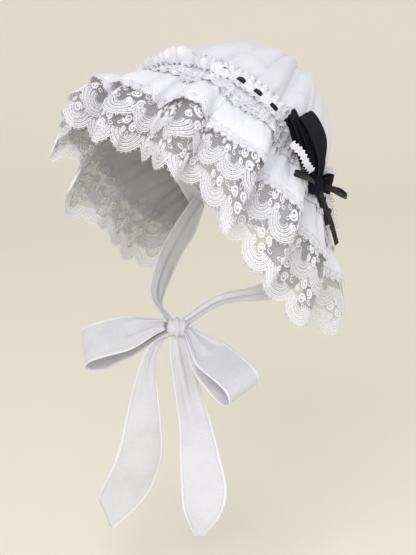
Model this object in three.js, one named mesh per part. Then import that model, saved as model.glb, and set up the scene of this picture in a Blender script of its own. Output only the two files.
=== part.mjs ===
import * as THREE from 'three';

// A gathered cotton bonnet as it is worn, in millimetres, +Z up, the face towards -Y.
// All tables are measured from the middle of the head; seat is the underside of the
// band above the crown of the head, and becomes the origin.
const seat = [0, -15, 136.4];

// driving sizes
const clothThick = 1.1;          // ruffles
const crownThick = 1.3;
const layerStep = 1.8;           // one ruffle layer above the next, middle to middle
const rippleHeight = 3.2;        // ripples between the folds, alike in every layer
const ripplesPerSide = 7.3;
const upperBillow = 4;           // how much further the upper lace tier stands off at its crests
const cottonBillow = 6.5;        // and the cotton frill at its ripples
const bandFront = 13;            // the band reaches this far forward of the seam, and back
const bandBack = 6;
const bandThick = 1.2;
const bandDrop = 2.6;            // the band lies this far inside the seam
const bandSlope = 0.4;           // how steeply the ladder lace rises over the ruffles' start
const brimLieFlat = 20;          // the ruffles lie flat over the seam, then spring out
const brimSwell = 1.42;
const bandTilt = 0.56;           // the band leans back this much for each mm down
const scallops = 30;             // along each lace tier
const scallopDepth = 6;
const lowerTierEnd = 1.0;        // share of the brim's depth
const upperTierEnd = 0.79;
const cottonEnd = 0.47;
const edgingEnd = 0.56;
const edgingGap = 0.011;
const crownPuffs = 18;
const puffDepth = 7;
const slotCount = 27;            // ladder slots in the beading lace
const beadingFront = 5;          // the beading lace reaches this far forward of the seam, and back
const beadingBack = 11;
const slotWidth = 7;
const slotMiddle = 3;
const threadWidth = 6.4;         // black ribbon in the slots
const threadThick = 0.7;
const beadingThick = 0.9;
const ladderReach = 0.985;       // how near to the band's ends the ladder lace comes, and the ribbon in it
const threadReach = 0.975;
const tieThick = 1.0;
const bowThick = 1.1;
const narrowThick = 0.8;         // the narrow ribbon bow
const stripThick = 0.9;          // the lace strips beside the side bow

// the brim: a row for each station from the wearer's right to the left
const brimRows = [
  { band: [-89, 85, -35], mid: [-122, 84, -70], edge: [-122, 56, -114] },
  { band: [-97, 64, 4], mid: [-136, 38, -18], edge: [-126, -22, -64] },
  { band: [-101, 42, 41], mid: [-138, 0, 34], edge: [-122, -74, -6] },
  { band: [-97, 20, 77], mid: [-128, -32, 88], edge: [-116, -88, 48] },
  { band: [-79, 0, 110], mid: [-103, -50, 113], edge: [-94, -104, 86] },
  { band: [-44, -13, 132], mid: [-56, -66, 126], edge: [-52, -116, 78] },
  { band: [0, -15, 139], mid: [0, -70, 136], edge: [0, -118, 72] },
  { band: [44, -13, 133], mid: [56, -66, 127], edge: [56, -113, 60] },
  { band: [79, 0, 111], mid: [103, -50, 102], edge: [98, -100, 36] },
  { band: [97, 20, 77], mid: [128, -26, 66], edge: [118, -86, -3] },
  { band: [101, 42, 41], mid: [137, 8, 20], edge: [128, -55, -48] },
  { band: [97, 64, 4], mid: [129, 44, -26], edge: [125, -7, -98] },
  { band: [89, 85, -35], mid: [112, 87, -70], edge: [114, 60, -128] },
];

// each fold of the ruffle: where its crest runs, how high it stands, how far it leans over
const foldRows = [
  [-1.12, 9, -3], [-0.92, 12, -7], [-0.7, 15, -12], [-0.48, 15, -13], [-0.27, 14, -7], [-0.06, 15, 9],
  [0.16, 18, 19], [0.37, 20, 23], [0.58, 20, 23], [0.79, 17, 18], [0.99, 11, 7], [1.2, 8, 2],
];

// small helpers
const vec = (a) => new THREE.Vector3(a[0], a[1], a[2]);
const clamp = (x, a, b) => Math.min(b, Math.max(a, x));

function rise(a, b, x) {                        // a smooth step from 0 at a to 1 at b
  const t = clamp((x - a) / (b - a), 0, 1);
  return t * t * (3 - 2 * t);
}

function through(points, at) {                 // smooth curve through points, at from 0 to 1
  const n = points.length - 1;
  const f = at * n;
  const i = clamp(Math.floor(f), 0, n - 1);
  const t = f - i;
  const p1 = points[i], p2 = points[i + 1];
  const p0 = i > 0 ? points[i - 1] : p1.clone().multiplyScalar(2).sub(p2);
  const p3 = i < n - 1 ? points[i + 2] : p2.clone().multiplyScalar(2).sub(p1);
  const out = new THREE.Vector3();
  for (const k of ['x', 'y', 'z']) {
    out[k] = 0.5 * (2 * p1[k] + (p2[k] - p0[k]) * t
      + (2 * p0[k] - 5 * p1[k] + 4 * p2[k] - p3[k]) * t * t
      + (3 * p1[k] - p0[k] - 3 * p2[k] + p3[k]) * t * t * t);
  }
  return out;
}

function table(rows, x) {                      // straight lines between the rows of a table
  if (x <= rows[0][0]) return { at: 0, values: rows[0] };
  for (let i = 0; i < rows.length - 1; i++) {
    if (x <= rows[i + 1][0]) {
      const t = (x - rows[i][0]) / (rows[i + 1][0] - rows[i][0]);
      return { at: i + t, values: rows[i].map((a, k) => a + (rows[i + 1][k] - a) * t) };
    }
  }
  return { at: rows.length - 1, values: rows[rows.length - 1] };
}

// the brim's surface
const bandPoints = brimRows.map((r) => vec(r.band));
const midPoints = brimRows.map((r) => vec(r.mid));
const edgePoints = brimRows.map((r) => vec(r.edge));

const across = new THREE.Vector3(0, 1, bandTilt).normalize();   // from the brim to the crown, over the seam

function meanBrim(s, v) {                      // s from -1 to 1 along the band, v outwards
  const at = (s + 1) / 2;
  const w = v * (1.35 - 0.35 * v);
  const start = through(bandPoints, at), end = through(edgePoints, at);
  const flat = start.clone().addScaledVector(across, -brimLieFlat);
  const swell = through(midPoints, at).sub(start).multiplyScalar(brimSwell).add(start);
  const q = 1 - w;
  return start.multiplyScalar(q * q * q).addScaledVector(flat, 3 * w * q * q)
    .addScaledVector(swell, 3 * w * w * q).addScaledVector(end, w * w * w);
}

const ripple = (s) => Math.sin(2 * Math.PI * ripplesPerSide * s + 1.1 * Math.sin(5 * s) + 0.8);
const freeOfBow = (s) => 1 - 0.9 * rise(0.26, 0.42, s);   // the side bow presses the frills flat

function foldedBrim(s, v) {
  const h = 1e-3;
  const along = meanBrim(s + h, v).sub(meanBrim(s - h, v)).normalize();
  const outward = meanBrim(s, v + h).sub(meanBrim(s, v - h)).normalize();
  const normal = new THREE.Vector3().crossVectors(outward, along).normalize();
  const fold = table(foldRows, s);
  const turn = 2 * Math.PI * fold.at;
  const grow = 0.03 + 0.97 * Math.pow(Math.max(v, 0), 1.2);
  const rippled = rippleHeight * ripple(s) * freeOfBow(s) * rise(0.13, 0.5, v);
  const height = fold.values[1] * grow * Math.cos(turn) + rippled;
  const lean = Math.pow(Math.max(v, 0), 1.5) * (fold.values[2] * Math.cos(turn) + 1.6 * Math.sin(2 * turn));
  return meanBrim(s, v).addScaledVector(normal, height).addScaledVector(along, lean);
}

function standOff(s, v, layer) {                // how far a layer stands above the lowest one
  const crest = 0.5 + 0.5 * Math.cos(2 * Math.PI * table(foldRows, s).at);
  const upper = upperBillow * rise(0.2, 0.8, v) * crest * freeOfBow(s);
  const cotton = cottonBillow * rise(0.13, 0.5, v) * (0.5 + 0.5 * ripple(s)) * freeOfBow(s);
  return layer * layerStep * (1 + 0.35 * v) + (layer > 0 ? upper : 0) + (layer > 1 ? cotton : 0);
}

function brimPoint(s, v, lift) {
  const h = 2e-3;
  const along = foldedBrim(s + h, v).sub(foldedBrim(s - h, v));
  const outward = foldedBrim(s, v + h).sub(foldedBrim(s, v - h));
  const normal = new THREE.Vector3().crossVectors(outward, along).normalize();
  return { point: foldedBrim(s, v).addScaledVector(normal, lift), normal };
}

function evenStations(count) {                 // equal steps measured along the lower edge
  const fine = 1200;
  const sums = [0];
  let last = foldedBrim(-1, 1);
  for (let i = 1; i <= fine; i++) {
    const p = foldedBrim(-1 + 2 * i / fine, 1);
    sums.push(sums[i - 1] + p.distanceTo(last));
    last = p;
  }
  const out = [];
  let k = 0;
  for (let j = 0; j <= count; j++) {
    const want = sums[fine] * j / count;
    while (k < fine - 1 && sums[k + 1] < want) k++;
    const t = (want - sums[k]) / (sums[k + 1] - sums[k]);
    out.push(-1 + 2 * (k + t) / fine);
  }
  return out;
}
const stations = evenStations(scallops * 3);

// a closed wall of cloth from a net of points
function wall(net, thick, options = {}) {
  const { wrap = false, open = () => false, pole = null } = options;
  const nu = net.length, nv = net[0].length;
  const cu = wrap ? nu : nu - 1, cv = nv - 1;
  const positions = [], index = [];
  const place = (p) => {
    positions.push(p.x - seat[0], p.y - seat[1], p.z - seat[2]);
    return positions.length / 3 - 1;
  };
  const top = [], low = [];
  for (let i = 0; i < nu; i++) {
    top.push([]);
    low.push([]);
    for (let j = 0; j < nv; j++) {
      const { point, normal } = net[i][j];
      top[i].push(place(point.clone().addScaledVector(normal, thick / 2)));
      low[i].push(place(point.clone().addScaledVector(normal, -thick / 2)));
    }
  }
  const there = (i, j) => {
    if (j < 0 || j >= cv) return false;
    if (!wrap && (i < 0 || i >= cu)) return false;
    return !open((i + cu) % cu, j);
  };
  const quad = (a, b, c, d) => index.push(a, b, c, a, c, d);
  for (let i = 0; i < cu; i++) {
    const n = (i + 1) % nu;
    for (let j = 0; j < cv; j++) {
      if (!there(i, j)) continue;
      quad(top[i][j], top[n][j], top[n][j + 1], top[i][j + 1]);
      quad(low[i][j], low[i][j + 1], low[n][j + 1], low[n][j]);
      if (!there(i, j - 1)) quad(low[i][j], low[n][j], top[n][j], top[i][j]);
      if (!there(i, j + 1) && !(pole && j === cv - 1)) {
        quad(low[n][j + 1], low[i][j + 1], top[i][j + 1], top[n][j + 1]);
      }
      if (!there(i - 1, j)) quad(low[i][j + 1], low[i][j], top[i][j], top[i][j + 1]);
      if (!there(i + 1, j)) quad(low[n][j], low[n][j + 1], top[n][j + 1], top[n][j]);
    }
  }
  if (pole) {
    const a = place(pole.point.clone().addScaledVector(pole.normal, thick / 2));
    const b = place(pole.point.clone().addScaledVector(pole.normal, -thick / 2));
    for (let i = 0; i < cu; i++) {
      const n = (i + 1) % nu;
      index.push(top[i][nv - 1], top[n][nv - 1], a);
      index.push(low[n][nv - 1], low[i][nv - 1], b);
    }
  }
  return solid(positions, index);
}

function solid(positions, index) {
  let volume = 0;
  const p = (k) => new THREE.Vector3(positions[3 * k], positions[3 * k + 1], positions[3 * k + 2]);
  for (let i = 0; i < index.length; i += 3) {
    volume += p(index[i]).dot(new THREE.Vector3().crossVectors(p(index[i + 1]), p(index[i + 2])));
  }
  if (volume < 0) {
    for (let i = 0; i < index.length; i += 3) [index[i], index[i + 1]] = [index[i + 1], index[i]];
  }
  const geometry = new THREE.BufferGeometry();
  geometry.setAttribute('position', new THREE.Float32BufferAttribute(positions, 3));
  geometry.setIndex(index);
  geometry.computeVertexNormals();
  return geometry;
}

function netOf(us, vs, at) {                   // a net from a surface, with its own normals
  return us.map((u) => vs.map((v) => {
    const h = 1e-3;
    const du = at(u + h, v).sub(at(u - h, v));
    const dv = at(u, v + h).sub(at(u, v - h));
    return { point: at(u, v), normal: new THREE.Vector3().crossVectors(dv, du).normalize() };
  }));
}
const steps = (from, to, n) => Array.from({ length: n + 1 }, (_, i) => from + (to - from) * i / n);

// ruffles
const ruffleRows = [0, 0.12, 0.27, 0.47, 0.74];          // every layer bends along the same rows
function ruffle(from, end, layer, scalloped, shift = 0) {
  const net = stations.map((s, i) => {
    const cusp = scalloped && (i + shift) % 3 === 0;
    const to = end - (cusp ? scallopDepth / 130 : 0);
    const rows = [from, ...ruffleRows.filter((v) => v > from && v < end - 0.02), to];
    return rows.map((v) => brimPoint(s, v, standOff(s, v, layer)));
  });
  return wall(net, clothThick);
}

// strips that follow the band
function bandSurface(lift) {
  return (s, w) => {                          // w in millimetres across, positive to the back
    const at = (s + 1) / 2;
    const p = through(bandPoints, at);
    const along = through(bandPoints, at + 1e-3).sub(through(bandPoints, at - 1e-3)).normalize();
    const out = new THREE.Vector3().crossVectors(along, across).normalize();
    const slope = lift > 3 * layerStep ? bandSlope * Math.max(0, -w) : 0;   // over the ruffles only
    return p.addScaledVector(across, w).addScaledVector(out, lift + slope);
  };
}

// the crown
const crownSeam = 5.5;
const crownMiddle = [0, 43, 68];
const crownSize = [100, 98, 90];
const crownFullness = 2.05;                     // 2 is a plain egg, more is squarer
const crownPole = [0, 0.86, 0.51];
const napeDepth = [24, 22];                    // how far back and down the nape edge sags
const bandShare = 0.7;                         // share of the rim that the band takes
const crownCreases = [                         // where round the rim, depth, how far it runs
  [0.335, 7, 0.75], [0.385, 6, 0.55], [0.455, 6, 0.6], [0.275, 5, 0.6], [0.215, 10, 0.85],
  [0.165, 9, 0.8], [0.12, 8, 0.7], [0.56, 5, 0.6], [0.66, 5, 0.5],
];

function rimPoint(at) {                        // 0..1 round the whole rim, band first
  const share = bandShare;
  if (at < share) {
    const s = 1 - 2 * at / share;
    return bandSurface(0)(s, crownSeam);
  }
  const turn = Math.PI * (at - share) / (1 - share);
  const end = bandSurface(0)(-1, crownSeam);
  const back = Math.sin(turn);
  return new THREE.Vector3(end.x * Math.cos(turn), end.y + napeDepth[0] * back, end.z - napeDepth[1] * back);
}

function crownPoint(at, t) {
  const mid = vec(crownMiddle);
  const rim = rimPoint(((at % 1) + 1) % 1).sub(mid);
  const reach = rim.length();
  const from = rim.clone().normalize(), to = vec(crownPole).normalize();
  const angle = from.angleTo(to);
  const dir = from.clone().multiplyScalar(Math.sin((1 - t) * angle));
  dir.addScaledVector(to, Math.sin(t * angle)).normalize();
  const powers = crownSize.map((size, k) => Math.pow(Math.abs(dir.getComponent(k)) / size, crownFullness));
  const round = (powers[0] + powers[1] + powers[2]) ** (-1 / crownFullness);
  const puff = Math.abs(Math.sin(Math.PI * at * crownPuffs));
  const strength = rise(0, 0.06, t) * (1 - rise(0.3, 0.85, t));
  let radius = reach + (round - reach) * rise(0, 0.16, t) + 4 * rise(0, 0.08, t) * (1 - rise(0.1, 0.4, t));
  radius -= puffDepth * (1 - Math.pow(puff, 0.8)) * strength;
  for (const [where, depth, far] of crownCreases) {
    const d = Math.abs(at - where) * crownPuffs;
    radius -= depth * Math.max(0, 1 - d / 0.7) * rise(0.03, 0.14, t) * (1 - rise(far * 0.5, far, t));
  }
  return dir.multiplyScalar(radius).add(mid);
}

function crown() {
  const columns = crownPuffs * 3;
  const ts = [0, 0.05, 0.12, 0.21, 0.32, 0.45, 0.6, 0.75, 0.9];
  const us = Array.from({ length: columns }, (_, i) => i / columns);
  const net = netOf(us, ts, (u, t) => crownPoint(u, t));
  const tip = crownPoint(0, 1);
  net.forEach((column) => column.forEach((k) => k.normal.negate()));
  const outward = vec(crownPole).normalize();
  const sign = Math.sign(net[0][5].normal.dot(net[0][5].point.clone().sub(vec(crownMiddle))));
  net.forEach((column) => column.forEach((k) => k.normal.multiplyScalar(sign)));
  return wall(net, crownThick, { wrap: true, pole: { point: tip, normal: outward } });
}

// ribbons
// a ribbon along a curve; each row gives a point, the direction across, and the width
function ribbon(rows, count, thick, rowsAcross = 2) {
  const points = rows.map((r) => vec(r.at));
  const sides = rows.map((r) => vec(r.side).normalize());
  const widths = rows.map((r) => new THREE.Vector3(r.width, r.cup || 0, 0));
  const us = steps(0, 1, count);
  const net = netOf(us, steps(-1, 1, rowsAcross), (u, v) => {
    const c = clamp(u, 0, 1);
    const p = through(points, u), side = through(sides, c).normalize(), w = through(widths, c);
    const along = through(points, c + 0.004).sub(through(points, c - 0.004)).normalize();
    const up = new THREE.Vector3().crossVectors(along, side).normalize();
    return p.addScaledVector(side, v * w.x / 2).addScaledVector(up, w.y * (1 - v * v));
  });
  return wall(net, thick);
}

// a loop of ribbon: out from the knot to the tip and back again
function loop(l, count, thick) {
  const knot = vec(l.knot), tip = vec(l.tip), side = vec(l.side).normalize();
  const reach = tip.clone().sub(knot);
  const open = new THREE.Vector3().crossVectors(reach, side).normalize();
  if (open.dot(vec(l.face)) < 0) open.negate();
  const sag = l.sag ? vec(l.sag) : new THREE.Vector3();
  const at = (t, v) => {
    const a = Math.PI * t;                                   // 0 at the knot, pi back at the knot
    const far = Math.pow(Math.sin(a), 0.72);
    const puffed = l.puff * Math.cos(a) * (0.16 + 0.84 * Math.pow(Math.sin(a), l.late || 1));
    const width = l.neck + (l.width - l.neck) * rise(0, l.wide || 0.75, far);
    const p = knot.clone().addScaledVector(reach, far).addScaledVector(open, puffed);
    return p.addScaledVector(sag, far * (1 - far) * 4).addScaledVector(side, v * width / 2);
  };
  const begin = Math.asin(Math.pow(l.clear / reach.length(), 1 / 0.72)) / Math.PI;   // clear of the knot
  const us = steps(begin, 1 - begin, count);
  return wall(netOf(us, steps(-1, 1, 2), at), thick);
}

function ball(middle, size, around = 12, down = 6) {        // a knot of cloth
  const positions = [], index = [];
  const put = (x, y, z) => {
    positions.push(x - seat[0], y - seat[1], z - seat[2]);
    return positions.length / 3 - 1;
  };
  const south = put(middle[0], middle[1], middle[2] - size[2]);
  const rings = [];
  for (let j = 1; j < down; j++) {
    const b = -Math.PI / 2 + Math.PI * j / down;
    rings.push(Array.from({ length: around }, (_, i) => {
      const a = 2 * Math.PI * i / around;
      const out = (1 + 0.07 * Math.cos(3 * a + 0.6) * Math.cos(b)) * Math.cos(b);    // three soft bulges
      return put(middle[0] + size[0] * out * Math.cos(a), middle[1] + size[1] * out * Math.sin(a),
        middle[2] + size[2] * Math.sin(b));
    }));
  }
  const north = put(middle[0], middle[1], middle[2] + size[2]);
  for (let i = 0; i < around; i++) {
    const n = (i + 1) % around;
    index.push(south, rings[0][n], rings[0][i]);
    for (let j = 0; j < rings.length - 1; j++) {
      index.push(rings[j][i], rings[j][n], rings[j + 1][n], rings[j][i], rings[j + 1][n], rings[j + 1][i]);
    }
    index.push(north, rings[rings.length - 1][i], rings[rings.length - 1][n]);
  }
  return solid(positions, index);
}

// the assembly
const bonnet = new THREE.Group();
bonnet.name = 'bonnet';
const looks = {
  cotton: { color: '#eceaf1', roughness: 0.85 },
  lace: { color: '#f4f3f6', roughness: 0.8 },
  black: { color: '#232228', roughness: 0.55 },
  tie: { color: '#f1eff2', roughness: 0.75 },
};
function add(name, geometry, look) {
  const material = new THREE.MeshStandardMaterial({ ...looks[look], metalness: 0 });
  material.name = look;
  const mesh = new THREE.Mesh(geometry, material);
  mesh.name = name;
  bonnet.add(mesh);
}

add('crown', crown(), 'cotton');
const bandNet = netOf(steps(-1, 1, 36), [-bandFront, bandBack], bandSurface(-bandDrop));
add('band', wall(bandNet, bandThick), 'cotton');
add('lace_tier_lower', ruffle(0, lowerTierEnd, 0, true, 0), 'lace');
add('lace_tier_upper', ruffle(0, upperTierEnd, 1, true, 1), 'lace');
add('cotton_frill', ruffle(0, cottonEnd, 2, false), 'cotton');
add('frill_edging', ruffle(cottonEnd + edgingGap, edgingEnd, 2, false), 'lace');

const cells = slotCount * 2 + 1;
const ladderStations = steps(-ladderReach, ladderReach, cells);
const threadRows = [slotMiddle - threadWidth / 2, slotMiddle + threadWidth / 2];
const threadNet = netOf(steps(-threadReach, threadReach, 36), threadRows, bandSurface(3 * layerStep + 0.4));
add('threaded_ribbon', wall(threadNet, threadThick), 'black');
const ladderRows = [-beadingFront, slotMiddle - slotWidth / 2, slotMiddle + slotWidth / 2, beadingBack];
const ladderNet = netOf(ladderStations, ladderRows, bandSurface(3 * layerStep + 1.7));
add('beading_lace', wall(ladderNet, beadingThick, { open: (i, j) => j === 1 && i % 2 === 1 }), 'lace');

// side bow on the wearer's left
const sideKnot = { middle: [117, 34, 34], size: [8, 8, 10] };
add('side_bow_knot', ball(sideKnot.middle, sideKnot.size), 'black');
const sideLoops = {
  side_bow_loop_front: {
    knot: [115, 30, 36], tip: [108, 8, 107], side: [-0.4, 0.88, 0.27],
    face: [1, -0.6, 0], width: 20, neck: 14, puff: 5, clear: 5.8, sag: [10.4, -9.3, 0],
  },
  side_bow_loop_back: {
    knot: [119.5, 35, 37], tip: [113, 22, 104], side: [-0.28, 0.96, 0.05],
    face: [1, 0, 0], width: 30, neck: 16, puff: 8, clear: 6, sag: [15, -6, 0],
  },
  side_bow_loop_low: {
    knot: [117.5, 38, 33], tip: [111, 65, 27], side: [0.1, 0.2, 1],
    face: [1, 0, 0], width: 20, neck: 13, puff: 6, clear: 4.9, sag: [3, 0, 0],
  },
  narrow_loop_front: {
    knot: [121, 30, 34], tip: [133, -14, 55], side: [0.48, -0.3, 0.8],
    face: [1, 0, 0], width: 7, neck: 5, puff: 5.5, clear: 4, sag: [4, 0, 2],
  },
  narrow_loop_back: {
    knot: [123.6, 39.5, 31], tip: [118, 82, 13], side: [0.48, -0.4, 0.78],
    face: [1, 0, 0], width: 7, neck: 5, puff: 8, clear: 3, sag: [3, 0, 0],
  },
};
for (const [name, l] of Object.entries(sideLoops)) {
  add(name, loop(l, 11, l.width > 10 ? bowThick : narrowThick), 'black');
}
const sideRibbons = {
  narrow_tail_long: { look: 'black', thick: narrowThick, rows: [
    { at: [121.7, 37.4, 26.2], side: [0, 1, 0.4], width: 5 },
    { at: [121, 48, 6], side: [0, 1, 0.4], width: 6 },
    { at: [118, 60, -12], side: [0, 1, 0.4], width: 6 },
    { at: [115, 73, -37], side: [0, 1, 0.4], width: 6 }] },
  narrow_tail_short: { look: 'black', thick: narrowThick, rows: [
    { at: [117.9, 37.4, 24.6], side: [0, 1, 0.4], width: 5 },
    { at: [117, 46, 10], side: [0, 1, 0.4], width: 6 },
    { at: [115, 54, -2], side: [0, 1, 0.2], width: 6 },
    { at: [112.5, 60, -15], side: [0, 1, 0], width: 6 }] },
  bow_lace_front: { look: 'lace', thick: stripThick, rows: [
    { at: [127, -13, 83], side: [0.3, 0.6, 0.8], width: 6.5 },
    { at: [128.5, 0, 72], side: [0.3, 0.6, 0.8], width: 7 },
    { at: [130.5, 6, 60], side: [0.3, 0.7, 0.5], width: 7 },
    { at: [129, 16, 51], side: [0.3, 0.8, 0.4], width: 6.5 }] },
  bow_lace_back: { look: 'lace', thick: stripThick, rows: [
    { at: [106.4, 58.5, 41.5], side: [0, 0.3, 1], width: 9 },
    { at: [105.9, 68.5, 38.5], side: [0, 0.3, 1], width: 10 },
    { at: [105.4, 78.5, 31.5], side: [0, 0.6, 1], width: 10 }] },
};

// ties: two straps, a knot under the chin, two loops and two tails
const chinKnot = { middle: [10, -50, -121], size: [12, 10, 10] };
add('chin_knot', ball(chinKnot.middle, chinKnot.size), 'tie');
const chinLoops = {
  chin_loop_right: {
    knot: [3, -52, -119], tip: [-96, -81, -165], side: [-0.6, 0.43, 0.67], wide: 0.55, late: 2.2,
    face: [0, -1, 0.3], width: 43, neck: 12, puff: 32, clear: 6.3, sag: [0, 0, 3],
  },
  chin_loop_left: {
    knot: [18, -50, -118], tip: [106, -54, -164], side: [0.08, 0.95, 0.32], wide: 0.5, late: 1.8,
    face: [0, -1, 0.3], width: 43, neck: 12, puff: 30, clear: 6.3, sag: [0, 0, -4],
  },
};
for (const [name, l] of Object.entries(chinLoops)) add(name, loop(l, 16, tieThick), 'tie');
const tieRibbons = {
  tie_left: { look: 'tie', thick: tieThick, rows: [
    { at: [84.2, 80, -30], side: [0.1, 0.76, -0.64], width: 24 },
    { at: [84, 58, -54], side: [0.1, 0.8, -0.6], width: 36 },
    { at: [74, 20, -82], side: [0.1, 0.8, -0.6], width: 34 },
    { at: [42, -20, -91], side: [-0.1, 0.7, -0.7], width: 20 },
    { at: [16.3, -45.4, -113.6], side: [0.1, 0.6, -0.8], width: 12 }] },
  tie_right: { look: 'tie', thick: tieThick, rows: [
    { at: [-84.2, 80, -30], side: [-0.1, 0.76, -0.64], width: 24 },
    { at: [-84, 58, -54], side: [-0.1, 0.8, -0.6], width: 36 },
    { at: [-74, 20, -82], side: [-0.1, 0.8, -0.6], width: 34 },
    { at: [-47, -23, -108], side: [0.1, 0.7, -0.7], width: 20 },
    { at: [-0.6, -50, -115.7], side: [-0.1, 0.6, -0.8], width: 12 }] },
  chin_tail_right: { look: 'tie', thick: tieThick, rows: [
    { at: [0, -53, -131], side: [0.8, 0.6, 0.3], width: 9 },
    { at: [-9, -61, -139], side: [0.8, 0.6, 0.3], width: 13, cup: 1 },
    { at: [-14, -68, -157], side: [0.8, 0.6, 0], width: 15, cup: 2 },
    { at: [-18, -70, -188], side: [0.8, 0.6, 0], width: 26, cup: 3 },
    { at: [-18, -74, -227], side: [0.8, 0.6, 0], width: 39, cup: 2 },
    { at: [-22, -74, -259], side: [0.74, 0.63, -0.19], width: 46, cup: 1 },
    { at: [-33, -80, -295], side: [0.74, 0.57, -0.35], width: 47, cup: 1 },
    { at: [-59, -92, -336], side: [0.47, 0.08, -0.88], width: 36 }] },
  chin_tail_left: { look: 'tie', thick: tieThick, rows: [
    { at: [14.6, -56.6, -128.2], side: [0.8, 0.6, 0], width: 16 },
    { at: [19, -55, -154], side: [0.8, 0.6, 0], width: 23, cup: 2 },
    { at: [28, -55, -182], side: [0.8, 0.6, 0], width: 28, cup: 4 },
    { at: [41, -57, -215], side: [0.8, 0.6, 0], width: 34, cup: 4 },
    { at: [53, -62, -248], side: [0.8, 0.6, 0], width: 42, cup: 3 },
    { at: [63, -67, -276], side: [0.8, 0.6, 0], width: 47, cup: 2 },
    { at: [68, -74, -299], side: [0.8, 0.6, 0], width: 39, cup: 1 },
    { at: [68, -79, -325], side: [0.8, 0.6, 0], width: 8 }] },
};
for (const [name, r] of Object.entries({ ...sideRibbons, ...tieRibbons })) {
  const wide = r.look === 'tie';
  const rowsAcross = wide && r.rows[0].width > 9 ? 3 : 1;
  add(name, ribbon(r.rows, wide ? 14 : 8, r.thick, rowsAcross), r.look);
}

export default bonnet;
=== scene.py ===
import math

import bpy
import numpy as np
from mathutils import Matrix, Vector


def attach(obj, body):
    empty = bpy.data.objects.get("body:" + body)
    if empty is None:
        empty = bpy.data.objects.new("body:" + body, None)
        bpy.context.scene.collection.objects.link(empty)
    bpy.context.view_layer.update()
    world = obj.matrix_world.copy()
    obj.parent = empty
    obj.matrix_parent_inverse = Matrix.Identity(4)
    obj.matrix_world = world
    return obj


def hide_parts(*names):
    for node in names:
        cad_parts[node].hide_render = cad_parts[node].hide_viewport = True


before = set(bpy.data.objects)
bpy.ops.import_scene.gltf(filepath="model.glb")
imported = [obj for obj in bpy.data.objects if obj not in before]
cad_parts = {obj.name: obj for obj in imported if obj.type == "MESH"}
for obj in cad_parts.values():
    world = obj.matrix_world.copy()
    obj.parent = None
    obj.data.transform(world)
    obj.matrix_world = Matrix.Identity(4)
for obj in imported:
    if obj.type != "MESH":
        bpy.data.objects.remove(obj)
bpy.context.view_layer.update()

print("bonnet: frame loaded")

# Tables are in millimetres from the middle of the hollow, +Z up and the open front towards -Y.
# seat is the underside of the band at its highest point, and is the frame's origin.
seat = np.array([0.0, -15.0, 136.4])
scene = bpy.context.scene


# camera, light and backdrop, in metres from the frame's origin
view = {
    "azimuth": 44.0,
    "elevation": 17.0,
    "distance": 1.8,
    "lens": 114.42,
    "aim": (0.01785, 0.00092, -0.21007),
    "keyPower": 22.0,
    "fillPower": 12.0,
    "rimPower": 4.0,
    "skyStrength": 0.7,
    "floorHeight": -0.552,
    "floorReach": 9.0,
    "floorBehind": 1.6,
    "wallCurve": 0.7,
    "wallHeight": 4.0,
    "paper": (0.87, 0.83, 0.71),
}


def lookFrom(azimuth, elevation):
    a, e = math.radians(azimuth), math.radians(elevation)
    return Vector((math.sin(a) * math.cos(e), -math.cos(a) * math.cos(e), math.sin(e)))


def aimed(name, data, azimuth, elevation, distance):  # puts a camera or a lamp there, turned to the aim
    made = bpy.data.objects.new(name, data)
    scene.collection.objects.link(made)
    back = lookFrom(azimuth, elevation)
    made.location = Vector(view["aim"]) + back * distance
    made.rotation_mode = "QUATERNION"
    made.rotation_quaternion = (-back).to_track_quat("-Z", "Y")
    return made


def addCamera():
    data = bpy.data.cameras.new("bonnetCamera")
    data.lens = view["lens"]
    data.sensor_width = 36.0
    data.clip_start, data.clip_end = 0.05, 20.0
    scene.camera = aimed("bonnetCamera", data, view["azimuth"], view["elevation"], view["distance"])


def addLamp(name, azimuth, elevation, distance, size, power, tint):
    data = bpy.data.lights.new(name, "AREA")
    data.shape = "DISK"
    data.size = size
    data.energy = power
    data.color = tint
    aimed(name, data, azimuth, elevation, distance)


# nodes and finishes
def linkOrSet(tree, socket, value):
    if isinstance(value, bpy.types.NodeSocket):
        tree.links.new(value, socket)
    else:
        socket.default_value = value


def addNode(tree, kind, inputs=None, **settings):
    made = tree.nodes.new(kind)
    for key, value in settings.items():
        setattr(made, key, value)
    for key, value in (inputs or {}).items():
        linkOrSet(tree, made.inputs[key], value)
    return made


def sums(tree, operation, a, b=0.0, c=0.0):  # one Math node
    return addNode(tree, "ShaderNodeMath", {0: a, 1: b, 2: c}, operation=operation).outputs[0]


def scaled(tree, value, by):
    return sums(tree, "MULTIPLY", value, by)


def mixed(tree, first, second, share=0.5):
    return sums(tree, "ADD", scaled(tree, first, share), scaled(tree, second, 1 - share))


def vectorOf(tree, **parts):
    return addNode(tree, "ShaderNodeCombineXYZ", parts).outputs[0]


def between(tree, value, low, high, toLow=0.0, toHigh=1.0):  # a smooth step
    made = addNode(tree, "ShaderNodeMapRange", interpolation_type="SMOOTHSTEP")
    for socket, given in zip(made.inputs[:5], (value, low, high, toLow, toHigh)):
        linkOrSet(tree, socket, given)
    return made.outputs[0]


def blendColour(tree, factor, first, second):
    made = addNode(tree, "ShaderNodeMix", data_type="RGBA")
    linkOrSet(tree, made.inputs[0], factor)
    for index, given in ((6, first), (7, second)):
        linkOrSet(tree, made.inputs[index], (*given, 1.0) if isinstance(given, tuple) else given)
    return made.outputs[2]


def newFinish(name, tint):
    made = bpy.data.materials.new(name)
    made.use_nodes = True
    made.diffuse_color = (*tint, 1.0)
    tree = made.node_tree
    return made, tree, tree.nodes["Principled BSDF"]


def cutOf(tree):  # where a point lies on the flat cut cloth
    return addNode(tree, "ShaderNodeUVMap", uv_map="cut").outputs[0]


def placeOf(tree):  # where it lies in space
    return addNode(tree, "ShaderNodeTexCoord").outputs["Object"]


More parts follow.
